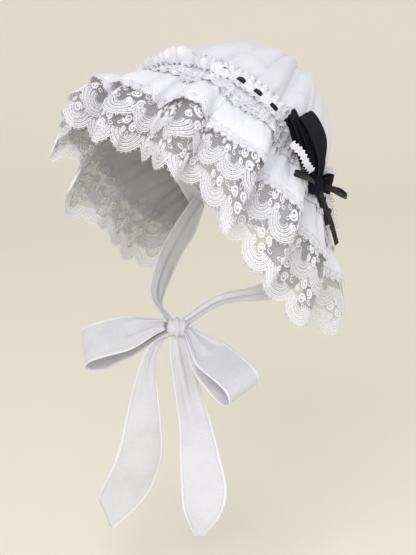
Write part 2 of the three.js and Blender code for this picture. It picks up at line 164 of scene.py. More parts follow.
def noiseAt(tree, place, scale, detail=3.0, rough=0.5, stretch=None):
    if stretch:
        place = addNode(tree, "ShaderNodeMapping", {"Vector": place, "Scale": stretch}).outputs[0]
    made = addNode(tree, "ShaderNodeTexNoise", {
        "Vector": place, "Scale": scale, "Detail": detail, "Roughness": rough})
    return made.outputs["Fac"]


def threadNet(tree, flat, thread, width, height, soft):  # 1 where a thread of a net lies
    return addNode(tree, "ShaderNodeTexBrick", {
        "Vector": flat, "Scale": 1.0, "Mortar Size": thread, "Brick Width": width, "Row Height": height,
        "Mortar Smooth": soft}).outputs["Fac"]


def bumped(tree, strength, distance, height, under=None):
    inputs = {"Strength": strength, "Distance": distance, "Height": height}
    if under is not None:
        inputs["Normal"] = under
    return addNode(tree, "ShaderNodeBump", inputs).outputs[0]


def setSkin(skin, values):
    for name, value in values.items():
        skin.inputs[name].default_value = value


def coverSkin(tree, skin, colour, rough, normal, specular):
    for name, output in (("Base Color", colour), ("Roughness", rough), ("Normal", normal)):
        tree.links.new(output, skin.inputs[name])
    setSkin(skin, {"Specular IOR Level": specular})


def clothFinish(name, light, shade, thread=0.0005, weave=0.5, crumple=0.0006, rough=(0.7, 0.9), sheen=0.2):
    # plain woven cloth: thread is its pitch in metres, weave the depth of the threads, crumple of the creases
    made, tree, skin = newFinish(name, light)
    flat, place = cutOf(tree), placeOf(tree)
    axes = addNode(tree, "ShaderNodeSeparateXYZ", {0: flat})
    over, under = (sums(tree, "SINE", scaled(tree, axes.outputs[k], math.pi / thread)) for k in (0, 1))
    threads = sums(tree, "MULTIPLY", over, under)
    slubs = noiseAt(tree, flat, 900.0, 2.0, stretch=(1.0, 0.12, 1.0))
    patches = noiseAt(tree, place, 22.0, 4.0)
    creases = noiseAt(tree, place, 75.0, 4.0, 0.55)
    tone = sums(tree, "MULTIPLY_ADD", threads, 0.06 * weave, mixed(tree, patches, slubs, 0.6))
    colour = blendColour(tree, between(tree, tone, 0.3, 0.7), shade, light)
    fine = bumped(tree, 0.5 * weave, thread * 0.3, threads)
    soft = bumped(tree, 0.6, crumple, creases, fine)
    coverSkin(tree, skin, colour, between(tree, slubs, 0.25, 0.75, *rough), soft, 0.25)
    setSkin(skin, {"Sheen Weight": sheen, "Sheen Roughness": 0.5})
    return made


def cordFinish(name, light, shade, twist=0.0009):
    # embroidery cord and crochet: a fine twist and a little fuzz
    made, tree, skin = newFinish(name, light)
    place = placeOf(tree)
    ply = noiseAt(tree, place, 1.0 / twist, 2.0)
    patches = noiseAt(tree, place, 30.0, 3.0)
    colour = blendColour(tree, between(tree, mixed(tree, ply, patches), 0.3, 0.65), shade, light)
    bump = bumped(tree, 0.5, twist * 0.25, ply)
    coverSkin(tree, skin, colour, between(tree, ply, 0.3, 0.7, 0.6, 0.85), bump, 0.25)
    setSkin(skin, {"Sheen Weight": 0.25})
    return made


def paperFinish(name, tint):
    made, tree, skin = newFinish(name, tint)
    patches = noiseAt(tree, placeOf(tree), 1.5, 2.0)
    darker = tuple(0.985 * c for c in tint)
    tree.links.new(blendColour(tree, patches, darker, tint), skin.inputs["Base Color"])
    setSkin(skin, {"Roughness": 0.95, "Specular IOR Level": 0.1})
    return made


def addBackdrop():
    # floor that turns up into a wall far behind; the profile holds the way to the camera and the height
    z, mesh = view["floorHeight"], bpy.data.meshes.new("paperRoll")
    reach, flatTo, curve = view["floorReach"], view["floorBehind"], view["wallCurve"]
    back = lookFrom(view["azimuth"], 0.0)
    side = Vector((back.y, -back.x, 0.0))
    profile = [(reach, 0.0), (0.5, 0.0), (-flatTo, 0.0)]
    for a in np.linspace(0.15, math.pi / 2, 12):
        profile.append((-flatTo - curve * math.sin(a), curve - curve * math.cos(a)))
    profile.append((-flatTo - curve, view["wallHeight"]))
    points = [back * d + side * w + Vector((0, 0, z + h)) for w in (-reach, reach) for d, h in profile]
    n = len(profile)
    mesh.from_pydata(points, [], [(k, k + 1, n + k + 1, n + k) for k in range(n - 1)])
    mesh.shade_smooth()
    made = bpy.data.objects.new("paperRoll", mesh)
    scene.collection.objects.link(made)
    made.data.materials.append(paperFinish("paleCreamPaper", view["paper"]))


addCamera()
addLamp("keyLamp", 26.0, 36.0, 2.0, 1.5, view["keyPower"], (1.0, 0.985, 0.965))
addLamp("fillLamp", 78.0, 2.0, 2.2, 1.6, view["fillPower"], (0.93, 0.95, 1.0))
addLamp("rimLamp", 190.0, 45.0, 2.0, 1.0, view["rimPower"], (1.0, 0.98, 0.95))
world = bpy.data.worlds.new("softSky")
scene.world = world
world.use_nodes = True
world.node_tree.nodes["Background"].inputs[0].default_value = (0.93, 0.945, 1.0, 1.0)
world.node_tree.nodes["Background"].inputs[1].default_value = view["skyStrength"]
scene.view_settings.view_transform = "Standard"
addBackdrop()
print("bonnet: camera, light and backdrop")


# sheets of cloth from nets of points
def through(rows, at):  # smooth curve through rows of a table, at from 0 to 1
    rows = np.asarray(rows, float)
    n = len(rows) - 1
    f = np.asarray(at, float) * n
    i = np.clip(np.floor(f).astype(int), 0, n - 1)
    t = (f - i)[..., None]
    more = np.vstack([2 * rows[0] - rows[1], rows, 2 * rows[-1] - rows[-2]])
    a, b, c, d = (more[i + k] for k in range(4))
    return 0.5 * (2 * b + (c - a) * t + (2 * a - 5 * b + 4 * c - d) * t**2 + (3 * b - a - 3 * c + d) * t**3)


def unit(vectors):
    return vectors / np.maximum(np.linalg.norm(vectors, axis=-1, keepdims=True), 1e-9)


def rise(low, high, x):
    t = np.clip((x - low) / (high - low), 0, 1)
    return t * t * (3 - 2 * t)


def waver(x, seed):  # smooth noise from -1 to 1 along a line, one new value for each whole x
    return loopNoise(x, 4096, seed)


def loopNoise(x, period, seed):  # smooth noise that repeats after period
    values = np.random.default_rng(seed).uniform(-1, 1, int(period))
    i = np.floor(x).astype(int)
    t = x - i
    t = t * t * (3 - 2 * t)
    return values[i % int(period)] * (1 - t) + values[(i + 1) % int(period)] * t


def lengthsAlong(line):  # from the start of a row of points to each of them
    return np.concatenate([[0], np.cumsum(np.linalg.norm(np.diff(line, axis=0), axis=1))])


def lengthOf(line):
    return float(np.linalg.norm(np.diff(line, axis=0), axis=1).sum())


def meshPiece(name, points, faces, finish, flat=None):
    # points are millimetres from the middle of the hollow, flat is the cut cloth in metres
    mesh = bpy.data.meshes.new(name)
    mesh.from_pydata(((np.asarray(points) - seat) / 1000).tolist(), [], faces)
    if flat is not None:
        layer = mesh.uv_layers.new(name="cut")
        corners = np.zeros(len(mesh.loops), np.int32)
        mesh.loops.foreach_get("vertex_index", corners)
        layer.data.foreach_set("uv", np.asarray(flat, np.float32)[corners].ravel())
    mesh.shade_smooth()
    made = bpy.data.objects.new(name, mesh)
    scene.collection.objects.link(made)
    if finish:
        mesh.materials.append(finish)
    return made


def gridFaces(nu, nv, wrap=False):
    columns = nu if wrap else nu - 1
    i, j = np.meshgrid(np.arange(columns), np.arange(nv - 1), indexing="ij")
    n = (i + 1) % nu
    quads = np.stack([i * nv + j, n * nv + j, n * nv + j + 1, i * nv + j + 1], -1).reshape(-1, 4)
    return quads.tolist()


def netPiece(name, net, flat, finish, thick=0.0):
    nu, nv = net.shape[:2]
    made = meshPiece(name, net.reshape(-1, 3), gridFaces(nu, nv), finish, flat.reshape(-1, 2))
    if thick:
        wall = made.modifiers.new("cloth thickness", "SOLIDIFY")
        wall.thickness = thick / 1000
        wall.offset = 0.0
    return made


def wear(made, nodes):  # a finished piece takes its CAD nodes' place on the one body
    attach(made, "root")
    if nodes:
        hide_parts(*nodes)
    return made


def takeOut(*pieces):
    for piece in pieces:
        bpy.data.objects.remove(piece)


def storeVectors(made, name, vectors):
    stored = made.data.attributes.new(name, "FLOAT_VECTOR", "POINT")
    stored.data.foreach_set("vector", vectors.reshape(-1, 3).astype(np.float32).ravel())
    return made


def netNormals(points):
    return unit(np.cross(np.gradient(points, axis=0), np.gradient(points, axis=1)))


# the brim's shape
brim = {
    "rows": [  # points on the band, midway and on the edge, from -X to +X
        ((-89, 85, -35), (-122, 84, -70), (-122, 56, -114)),
        ((-97, 64, 4), (-136, 38, -18), (-126, -22, -64)),
        ((-101, 42, 41), (-138, 0, 34), (-122, -74, -6)),
        ((-97, 20, 77), (-128, -32, 88), (-116, -88, 48)),
        ((-79, 0, 110), (-103, -50, 113), (-94, -104, 86)),
        ((-44, -13, 132), (-56, -66, 126), (-52, -116, 78)),
        ((0, -15, 139), (0, -70, 136), (0, -118, 72)),
        ((44, -13, 133), (56, -66, 127), (56, -113, 60)),
        ((79, 0, 111), (103, -50, 102), (98, -100, 36)),
        ((97, 20, 77), (128, -26, 66), (118, -86, -3)),
        ((101, 42, 41), (137, 8, 20), (128, -55, -48)),
        ((97, 64, 4), (129, 44, -26), (125, -7, -98)),
        ((89, 85, -35), (112, 87, -70), (114, 60, -128)),
    ],
    "folds": [  # place along the band, height, lean of each fold's crest
        (-1.12, 9, -3), (-0.92, 12, -7), (-0.7, 15, -12), (-0.48, 15, -13), (-0.27, 14, -7), (-0.06, 15, 9),
        (0.16, 18, 19), (0.37, 20, 23), (0.58, 20, 23), (0.79, 17, 18), (0.99, 11, 7), (1.2, 8, 2),
    ],
    "lieFlat": 20.0,
    "swell": 1.42,
    "layerStep": 1.8,
    "rippleHeight": 3.2,  # ripples between the folds, alike in every layer
    "ripplesPerSide": 7.3,
    "upperBillow": 4.0,  # how much further the upper tier and the cotton frill stand off at their crests
    "cottonBillow": 6.5,
    "gatherPitch": 10.5,  # small gathers at the seam, mm along the band
    "gatherDepth": 2.0,
    "crumplePitch": 19.0,  # soft creases across the ripples
    "crumpleDepth": 1.9,
    "seed": 7,
}
across = unit(np.array([0.0, 1.0, 0.56]))  # from the brim to the crown, over the seam
bandRows, midRows, edgeRows = (np.array([r[k] for r in brim["rows"]], float) for k in range(3))


def meanBrim(s, v):
    at = (s + 1) / 2
    w = (v * (1.35 - 0.35 * v))[..., None]
    start, end = through(bandRows, at), through(edgeRows, at)
    flat = start - across * brim["lieFlat"]
    swell = start + (through(midRows, at) - start) * brim["swell"]
    q = 1 - w
    return start * q**3 + flat * 3 * w * q * q + swell * 3 * w * w * q + end * w**3


def ripple(s):
    return np.sin(2 * math.pi * brim["ripplesPerSide"] * s + 1.1 * np.sin(5 * s) + 0.8)


def freeOfBow(s):  # the side bow presses the frills flat
    return 1 - 0.9 * rise(0.26, 0.42, s)


def foldedBrim(s, v):
    h = 1e-3
    along = unit(meanBrim(s + h, v) - meanBrim(s - h, v))
    outward = unit(meanBrim(s, v + h) - meanBrim(s, v - h))
    normal = unit(np.cross(outward, along))
    places, heights, leans = np.array(brim["folds"], float).T
    turn = 2 * math.pi * np.interp(s, places, np.arange(len(places)))
    grow = 0.03 + 0.97 * np.maximum(v, 0) ** 1.2
    height = np.interp(s, places, heights) * grow * np.cos(turn)
    height = height + brim["rippleHeight"] * ripple(s) * freeOfBow(s) * rise(0.13, 0.5, v)
    lean = np.maximum(v, 0) ** 1.5 * (np.interp(s, places, leans) * np.cos(turn) + 1.6 * np.sin(2 * turn))
    return meanBrim(s, v) + normal * height[..., None] + along * lean[..., None]


bandSteps = np.linspace(-1, 1, 1201)
bandLength = lengthsAlong(through(bandRows, (bandSteps + 1) / 2))


def smallFolds(s, v):
    b = np.interp(s, bandSteps, bandLength)
    seed = brim["seed"]
    pull = b / brim["gatherPitch"] + 0.45 * waver(b / 23, seed) + 0.12 * waver(b / 9 + 3 * v, seed + 1)
    gathers = np.sin(2 * math.pi * pull) * (0.75 + 0.4 * waver(b / 31, seed + 2))
    roll = (b / brim["crumplePitch"] + 0.5 * waver(b / 47, seed + 3)
            + 0.22 * waver(b / 35 + 2.2 * v, seed + 4))
    creases = np.sin(2 * math.pi * roll) * (0.7 + 0.5 * waver(b / 40 + v, seed + 5))
    flutter = waver(b / 8 + 1.7 * v, seed + 6)
    return (brim["gatherDepth"] * gathers * rise(0.04, 0.14, v) * (1 - rise(0.22, 0.62, v))
            + brim["crumpleDepth"] * creases * rise(0.1, 0.5, v) + 0.6 * flutter * rise(0.4, 1.0, v))


def standOff(s, v, layer):  # how far a layer stands above the lowest one
    places = [row[0] for row in brim["folds"]]
    crest = 0.5 + 0.5 * np.cos(2 * math.pi * np.interp(s, places, np.arange(len(places))))
    upper = brim["upperBillow"] * rise(0.2, 0.8, v) * crest * freeOfBow(s)
    cotton = brim["cottonBillow"] * rise(0.13, 0.5, v) * (0.5 + 0.5 * ripple(s)) * freeOfBow(s)
    return (layer * brim["layerStep"] * (1 + 0.35 * v)
            + (upper if layer > 0 else 0) + (cotton if layer > 1 else 0))


def brimPoint(s, v, layer):
    h = 2e-3
    along = foldedBrim(s + h, v) - foldedBrim(s - h, v)
    outward = foldedBrim(s, v + h) - foldedBrim(s, v - h)
    normal = unit(np.cross(outward, along))
    lift = standOff(s, v, layer) + smallFolds(s, v)
    return foldedBrim(s, v) + normal * lift[..., None], normal


edgeLength = lengthsAlong(foldedBrim(bandSteps, np.ones_like(bandSteps)))


# geometry node helpers
def newTree(name, sockets):
    tree = bpy.data.node_groups.new(name, "GeometryNodeTree")
    tree.interface.new_socket("Geometry", in_out="INPUT", socket_type="NodeSocketGeometry")
    tree.interface.new_socket("Geometry", in_out="OUTPUT", socket_type="NodeSocketGeometry")
    for label, kind, value in sockets:
        made = tree.interface.new_socket(label, in_out="INPUT", socket_type="NodeSocket" + kind)
        if value is not None:
            made.default_value = value
    return tree, tree.nodes.new("NodeGroupInput").outputs, tree.nodes.new("NodeGroupOutput").inputs[0]


def runTree(name, tree, host, inputs):  # the tree's result on host, as a plain mesh object
    modifier = host.modifiers.new(tree.name, "NODES")
    modifier.node_group = tree
    for item in tree.interface.items_tree:
        if item.in_out == "INPUT" and item.name in inputs:
            modifier[item.identifier] = inputs[item.name]
    graph = bpy.context.evaluated_depsgraph_get()
    mesh = bpy.data.meshes.new_from_object(host.evaluated_get(graph), depsgraph=graph)
    host.modifiers.remove(modifier)
    mesh.name = name
    made = bpy.data.objects.new(name, mesh)
    scene.collection.objects.link(made)
    return made


def finishTree(tree, end, geometry, material):  # every tree ends alike
    real = addNode(tree, "GeometryNodeRealizeInstances", {"Geometry": geometry})
    smooth = addNode(tree, "GeometryNodeSetShadeSmooth", {"Geometry": real.outputs[0]})
    done = addNode(tree, "GeometryNodeSetMaterial", {"Geometry": smooth.outputs[0], "Material": material})
    tree.links.new(done.outputs[0], end)


def circleOf(tree, points, radius):
    return addNode(tree, "GeometryNodeCurvePrimitiveCircle", {
        "Resolution": points, "Radius": radius}).outputs[0]


def levelLine(tree, half, height):  # a straight curve across a motif
    left, right = vectorOf(tree, X=scaled(tree, half, -1.0), Y=height), vectorOf(tree, X=half, Y=height)
    return addNode(tree, "GeometryNodeCurvePrimitiveLine", {"Start": left, "End": right}).outputs[0]


def resampled(tree, curve, count):
    return addNode(tree, "GeometryNodeResampleCurve", {"Curve": curve, "Count": count}).outputs[0]


def placed(tree, geometry, by=(0, 0, 0), turn=(0, 0, 0), scale=(1, 1, 1)):
    return addNode(tree, "GeometryNodeTransform", {
        "Geometry": geometry, "Translation": by, "Rotation": turn, "Scale": scale}).outputs[0]


def cordTube(tree, curve, radius, sides=4, flatness=0.6):
    tube = addNode(tree, "GeometryNodeCurveToMesh", {
        "Curve": curve, "Profile Curve": circleOf(tree, sides, radius), "Fill Caps": True})
    return placed(tree, tube.outputs[0], scale=(1.0, 1.0, flatness))


def joined(tree, parts):
    made = tree.nodes.new("GeometryNodeJoinGeometry")
    for part in reversed(parts):
        tree.links.new(part, made.inputs[0])
    return made.outputs[0]


def layOnClothTree():
    # repeats a flat motif along a flat strip, then wraps it on the host cloth by the host's cut pattern
    tree, given, end = newTree("layOnCloth", [
        ("Motif", "Object", None), ("Count", "Int", 10), ("Pitch", "Float", 0.01),
        ("Start", "Vector", (0, 0, 0)),
        ("Lift", "Float", 0.0), ("Jitter", "Vector", (0, 0, 0)), ("Turn", "Float", 0.0), ("Seed", "Int", 3),
        ("Finish", "Material", None)])
    vectors = {"data_type": "FLOAT_VECTOR"}
    motif = addNode(tree, "GeometryNodeObjectInfo", {"Object": given["Motif"]})
    line = addNode(tree, "GeometryNodeMeshLine", {
        "Count": given["Count"], "Start Location": given["Start"],
        "Offset": vectorOf(tree, X=given["Pitch"])})
    back = addNode(tree, "ShaderNodeVectorMath", {0: given["Jitter"], 3: -1.0}, operation="SCALE")
    shake = addNode(tree, "FunctionNodeRandomValue", {
        "Min": back.outputs[0], "Max": given["Jitter"], "Seed": given["Seed"]}, **vectors)
    spots = addNode(tree, "GeometryNodeSetPosition", {
        "Geometry": line.outputs[0], "Offset": shake.outputs[0]})
    low, high = vectorOf(tree, Z=scaled(tree, given["Turn"], -1.0)), vectorOf(tree, Z=given["Turn"])
    spin = addNode(tree, "FunctionNodeRandomValue", {
        "Min": low, "Max": high, "Seed": given["Seed"]}, **vectors)
    many = addNode(tree, "GeometryNodeInstanceOnPoints", {
        "Points": spots.outputs[0], "Instance": motif.outputs["Geometry"], "Rotation": spin.outputs[0]})
    real = addNode(tree, "GeometryNodeRealizeInstances", {"Geometry": many.outputs[0]})
    place = addNode(tree, "GeometryNodeInputPosition").outputs[0]
    cut, outward = (addNode(tree, "GeometryNodeInputNamedAttribute", {"Name": name}, **vectors).outputs[0]
                    for name in ("cut", "outward"))
    found = []
    for value in (place, outward):
        found.append(addNode(tree, "GeometryNodeSampleUVSurface", {
            "Mesh": given["Geometry"], "Value": value, "UV Map": cut, "Sample UV": place}, **vectors))
    height = addNode(tree, "ShaderNodeSeparateXYZ", {0: place}).outputs["Z"]
    height = sums(tree, "ADD", height, given["Lift"])
    raised = addNode(tree, "ShaderNodeVectorMath", {0: found[1].outputs[0], 3: height}, operation="SCALE")
    put = addNode(tree, "ShaderNodeVectorMath", {0: found[0].outputs[0], 1: raised.outputs[0]},
                  operation="ADD")
    missed = addNode(tree, "FunctionNodeBooleanMath", {0: found[0].outputs[1]}, operation="NOT")
    kept = addNode(tree, "GeometryNodeDeleteGeometry", {
        "Geometry": real.outputs[0], "Selection": missed.outputs[0]})
    moved = addNode(tree, "GeometryNodeSetPosition", {
        "Geometry": kept.outputs[0], "Position": put.outputs[0]})
    finishTree(tree, end, moved.outputs[0], given["Finish"])
    return tree


def scallopTree():
    # one scallop of the lace border, flat: concentric cords, picots outside and ladder bars between
    tree, given, end = newTree("laceScallop", [
        ("Width", "Float", 0.0285), ("Radius", "Float", 0.022), ("Cord", "Float", 0.00055),
        ("Picots", "Int", 10), ("Bars", "Int", 13), ("Finish", "Material", None)])
    half = scaled(tree, given["Width"], 0.5)

    def arc(inset, points):
        r = sums(tree, "SUBTRACT", given["Radius"], inset)
        angle = sums(tree, "ARCSINE", sums(tree, "MINIMUM", sums(tree, "DIVIDE", half, r), 0.985))
        start = sums(tree, "SUBTRACT", -math.pi / 2, angle)
        made = addNode(tree, "GeometryNodeCurveArc", {
            "Resolution": points, "Radius": r, "Start Angle": start,
            "Sweep Angle": scaled(tree, angle, 2.0)})
        return placed(tree, made.outputs[0], vectorOf(tree, Y=given["Radius"]))

    def along(curve, count, part):
        tangent = addNode(tree, "GeometryNodeInputTangent").outputs[0]
        facing = addNode(tree, "FunctionNodeAlignEulerToVector", {"Vector": tangent}, axis="X")
        return addNode(tree, "GeometryNodeInstanceOnPoints", {
            "Points": resampled(tree, curve, count), "Instance": part,
            "Rotation": facing.outputs[0]}).outputs[0]

    parts = []
    for inset, width in ((0.0010, 1.15), (0.0026, 0.7), (0.0046, 0.9), (0.0062, 0.7), (0.0082, 1.1),
                         (0.0100, 0.7), (0.0118, 0.9), (0.0138, 1.25)):
        parts.append(cordTube(tree, arc(inset, 17), scaled(tree, given["Cord"], width)))
    picot = cordTube(tree, circleOf(tree, 8, 0.00115), scaled(tree, given["Cord"], 0.62), 3)
    parts.append(along(arc(0.0, 17), given["Picots"], picot))
    bead = cordTube(tree, circleOf(tree, 6, 0.0009), scaled(tree, given["Cord"], 0.6), 3)
    parts.append(along(arc(0.0156, 12), 8, bead))
    for inset, reach in ((0.0036, 0.0019), (0.0072, 0.0018), (0.0109, 0.0017)):
        bar = addNode(tree, "GeometryNodeMeshCube", {"Size": (0.0005, reach, 0.0003)})
        parts.append(along(arc(inset, 17), given["Bars"], bar.outputs[0]))
    finishTree(tree, end, joined(tree, parts), given["Finish"])
    return tree


def roseTree():
    # a spray of embroidered swirl roses with cord leaves, flat, round its middle
    tree, given, end = newTree("roseSpray", [
        ("Size", "Float", 0.0055), ("Cord", "Float", 0.0012), ("Finish", "Material", None)])
    swirl = addNode(tree, "GeometryNodeCurveSpiral", {
        "Resolution": 11, "Rotations": 1.55, "Start Radius": 0.0011, "End Radius": given["Size"],
        "Height": 0.0})
    rose = cordTube(tree, swirl.outputs[0], given["Cord"], 5, 0.8)
    heart = addNode(tree, "GeometryNodeMeshIcoSphere", {"Radius": 0.0008, "Subdivisions": 1})
    bloom = joined(tree, [rose, placed(tree, heart.outputs[0], scale=(1.0, 1.0, 0.6))])
    thin = placed(tree, circleOf(tree, 10, 0.0022), scale=(1.35, 0.62, 1.0))
    leaf = cordTube(tree, thin, scaled(tree, given["Cord"], 0.55), 3)
    parts = []
    for x, y, turn, size in ((-0.0056, 0.0044, 0.3, 1.0), (0.0064, 0.0058, 2.4, 0.88),
                             (0.0038, -0.0062, 4.1, 0.94), (-0.0078, -0.0068, 5.3, 0.66)):
        parts.append(placed(tree, bloom, (x, y, 0.0003), (0, 0, turn), (size, size, 1.0)))
    for x, y, turn in ((-0.0130, 0.0012, 3.4), (0.0004, 0.0118, 1.5), (0.0134, 0.0005, 0.1),
                       (0.0112, -0.0092, -0.6), (-0.0024, -0.0128, -1.7), (-0.0104, 0.0104, 2.4)):
        parts.append(placed(tree, leaf, (x, y, 0), (0, 0, turn)))
    finishTree(tree, end, joined(tree, parts), given["Finish"])
    return tree


# the two lace tiers
def brimChart(end):
    # the way between the flat cut of a frill and the brim: x along its lower edge, y in from the edge, in mm
    columns = np.interp(np.linspace(0, edgeLength[-1], 241), edgeLength, bandSteps)
    fine = np.linspace(end + 0.07, 0, 120)
    line = foldedBrim(columns[:, None] + 0 * fine, fine + 0 * columns[:, None])
    gone = np.cumsum(np.linalg.norm(np.diff(line, axis=1), axis=2), axis=1)
    gone = np.hstack([np.zeros((len(columns), 1)), gone])
    edge = np.array([np.interp(-end, -fine, g) for g in gone])
    gone = gone - edge[:, None]
    deep = gone[:, -1]
    depth = float(deep.mean())
    ys = np.arange(-4.0, depth + 1.0, 1.0)
    rows = []
    for g, d in zip(gone, deep):
        real = ys + (d - depth) * np.clip((ys - 0.3 * depth) / (0.7 * depth), 0, 1)
        rows.append(np.interp(real, g, fine))
    rows = np.array(rows)

    def at(x, y, layer):
        i = np.clip(x / edgeLength[-1] * 240, 0, 239.999)
        j = np.clip(y + 4.0, 0, len(ys) - 1.001)
        i0, j0 = i.astype(int), j.astype(int)
        fi, fj = i - i0, j - j0
        v = ((rows[i0, j0] * (1 - fi) + rows[i0 + 1, j0] * fi) * (1 - fj)
             + (rows[i0, j0 + 1] * (1 - fi) + rows[i0 + 1, j0 + 1] * fi) * fj)
        return brimPoint(np.interp(x, edgeLength, bandSteps), v, layer)

    return at, depth


cutMargin = 0.02  # where the flat cut of every piece starts, in metres, inside the unit square
stripMargin = 0.03  # where strips start across it


def flatCut(x, y):  # cut pattern in metres
    return np.stack([x / 1000 + cutMargin, y / 1000 + cutMargin], -1)


def guidePiece(at, depth, layer):  # the cloth that motifs are laid on; taken out again after
    x = np.linspace(0, edgeLength[-1], 661)[:, None]
    y = np.arange(-4.0, min(depth, 62.0), 1.6)[None, :]
    x, y = np.broadcast_arrays(x, y)
    points, normals = at(x, y, layer)
    return storeVectors(netPiece("guide", points, flatCut(x, y), None), "outward", normals)


def tulleFinish(name, light, shade, worked, width, radius, shift, clear=0.3):
    # net ground with a worked border of scallops, drawn on the cut pattern
    made, tree, skin = newFinish(name, light)
    flat, place = cutOf(tree), placeOf(tree)
    axes = addNode(tree, "ShaderNodeSeparateXYZ", {0: flat})
    x = sums(tree, "WRAP", axes.outputs[0], shift + cutMargin + width, shift + cutMargin)
    x = sums(tree, "SUBTRACT", x, shift + cutMargin + width / 2)
    y = sums(tree, "SUBTRACT", axes.outputs[1], radius + cutMargin)
    reach = sums(tree, "SQRT", sums(tree, "MULTIPLY_ADD", x, x, sums(tree, "MULTIPLY", y, y)))
    inset = sums(tree, "SUBTRACT", radius, reach)
    border = sums(tree, "MULTIPLY", sums(tree, "LESS_THAN", y, 0.0), sums(tree, "LESS_THAN", inset, 0.0143))
    gaps = [sums(tree, "COMPARE", inset, middle, 0.0006) for middle in (0.0018, 0.0054, 0.0091, 0.0128)]
    ladder = sums(tree, "ADD", sums(tree, "ADD", gaps[0], gaps[1]), sums(tree, "ADD", gaps[2], gaps[3]))
    ladder = sums(tree, "MULTIPLY", ladder, border)
    thread = threadNet(tree, flat, 0.00016, 0.0015, 0.0012, 0.6)
    dense = threadNet(tree, flat, 0.00042, 0.0019, 0.0016, 0.3)
    openness = noiseAt(tree, place, 26.0, 3.0)
    ground = sums(tree, "MULTIPLY_ADD", openness, 0.16, clear - 0.08)
    ground = sums(tree, "MULTIPLY_ADD", thread, 0.4, ground)
    ground = sums(tree, "MULTIPLY", ground, sums(tree, "SUBTRACT", 1.0, border))
    work = sums(tree, "MULTIPLY", sums(tree, "MULTIPLY_ADD", dense, 0.5, 0.34), border)
    alpha = sums(tree, "ADD", work, ground)
    alpha = sums(tree, "MULTIPLY", alpha, sums(tree, "MULTIPLY_ADD", ladder, -0.75, 1.0))
    tree.links.new(sums(tree, "MINIMUM", alpha, 1.0), skin.inputs["Alpha"])
    # painted shade: the net ground takes the grey colours, standing in for the shade seen through it; the
    # worked border keeps the thread's white
    net = blendColour(tree, openness, shade, light)
    colour = blendColour(tree, scaled(tree, border, 0.9), net, worked)
    bump = bumped(tree, 0.4, 0.0003, dense)
    coverSkin(tree, skin, colour, between(tree, openness, 0.3, 0.7, 0.75, 0.9), bump, 0.2)
    return made


lace = {
    "scallops": 30,
    "radius": 22.0,
    "lowerEnd": 1.0,
    "upperEnd": 0.79,
    "upperShift": 0.333,  # share of a scallop between the two tiers
    "sprayHeight": 29.5,  # middle of the rose sprays above the edge
    "sprayJitter": (0.0035, 0.0028, 0.0),
    "thread": (0.90, 0.895, 0.92),
    "threadShade": (0.80, 0.79, 0.83),
    # painted shade: the net ground is painted grey, standing in for the shade seen through its holes; the
    # real net is white
    "net": (0.48, 0.475, 0.485),
    "netPaintedShade": (0.36, 0.355, 0.365),
    "seed": 11,
}
edge = float(edgeLength[-1])
pitch = edge / lace["scallops"]
layOnCloth, laceScallop, roseSpray = layOnClothTree(), scallopTree(), roseTree()
embroidery = cordFinish("laceCord", lace["thread"], lace["threadShade"])
emptyHost = meshPiece("emptyHost", [(0, 0, 0)], [], None)
scallopUnit = runTree("scallopUnit", laceScallop, emptyHost, {
    "Width": pitch / 1000, "Radius": lace["radius"] / 1000, "Finish": embroidery})
sprayUnit = runTree("sprayUnit", roseSpray, emptyHost, {"Finish": embroidery})


def layRow(name, motif, guide, count, pitch, start, lift, **more):  # a row of one motif on the cloth
    return runTree(name, layOnCloth, guide, {
        "Motif": motif, "Count": count, "Pitch": pitch, "Start": (*start, 0), "Lift": lift,
        "Finish": embroidery, **more})


def laceTier(name, node, end, layer, shift):
    at, depth = brimChart(end)
    perScallop, r = 14, lace["radius"]
    x = np.linspace(0, edge, lace["scallops"] * perScallop + 1)
    local = (x / pitch - shift) % 1.0 * pitch - pitch / 2
    low = r - np.sqrt((r - 0.9) ** 2 - local**2)
    t = np.concatenate([np.linspace(0, 0.42, 26), np.linspace(0.42, 1, 19)[1:]])
    y = low[:, None] + (depth - low)[:, None] * t[None, :]
    xs = np.broadcast_to(x[:, None], y.shape)
    points = at(xs, y, layer)[0]
    net = netPiece(name + "Net", points, flatCut(xs, y), tulleFinish(
        name + "Tulle", lace["net"], lace["netPaintedShade"], lace["thread"], pitch / 1000, r / 1000,
        shift * pitch / 1000))
    guide = guidePiece(at, depth, layer)
    count = lace["scallops"] + (1 if shift else 0)
    first = (shift - (1 if shift else 0) + 0.5) * pitch / 1000 + cutMargin
    border = layRow(name + "Border", scallopUnit, guide, count, pitch / 1000, (first, cutMargin), 0.0003,
                    Seed=lace["seed"])
    firstSpray = (first + (0.5 if shift else 1.0) * pitch / 1000, cutMargin + lace["sprayHeight"] / 1000)
    sprays = layRow(name + "Roses", sprayUnit, guide, lace["scallops"] - 1, pitch / 1000, firstSpray, 0.0004,
                    Jitter=lace["sprayJitter"], Turn=0.5, Seed=lace["seed"] + layer)
    takeOut(guide)
    for piece in (net, border, sprays):
        wear(piece, [node] if piece is net else [])
    cut = lengthOf(at(x, np.full_like(x, 6.0), layer)[0])
    print(f"bonnet: {name}, {cut:.0f} by {depth:.0f} mm cut")


laceTier("lowerTier", "lace_tier_lower", lace["lowerEnd"], 0, 0.0)
laceTier("upperTier", "lace_tier_upper", lace["upperEnd"], 1, lace["upperShift"])


# cotton frill, its scalloped edging and the short lace over it
frill = {
    "end": 0.56,  # share of the brim's depth
    "edging": 10.5,  # width of the edging, mm
    "fan": 12.5,  # one small scallop of the edging
    "cotton": (0.82, 0.82, 0.85),
    "cottonShade": (0.75, 0.75, 0.795),
    # the short lace over it; its header has one height over the top and another down the sides
    "top": {"end": 0.27, "fan": 11.0, "gather": 16.0, "header": (16.0, 3.0), "rosePitch": 27.0,
            "cover": 0.72},
}
cotton = clothFinish("cottonLawn", frill["cotton"], frill["cottonShade"], thread=0.0005, weave=0.6,
                     crumple=0.0009)


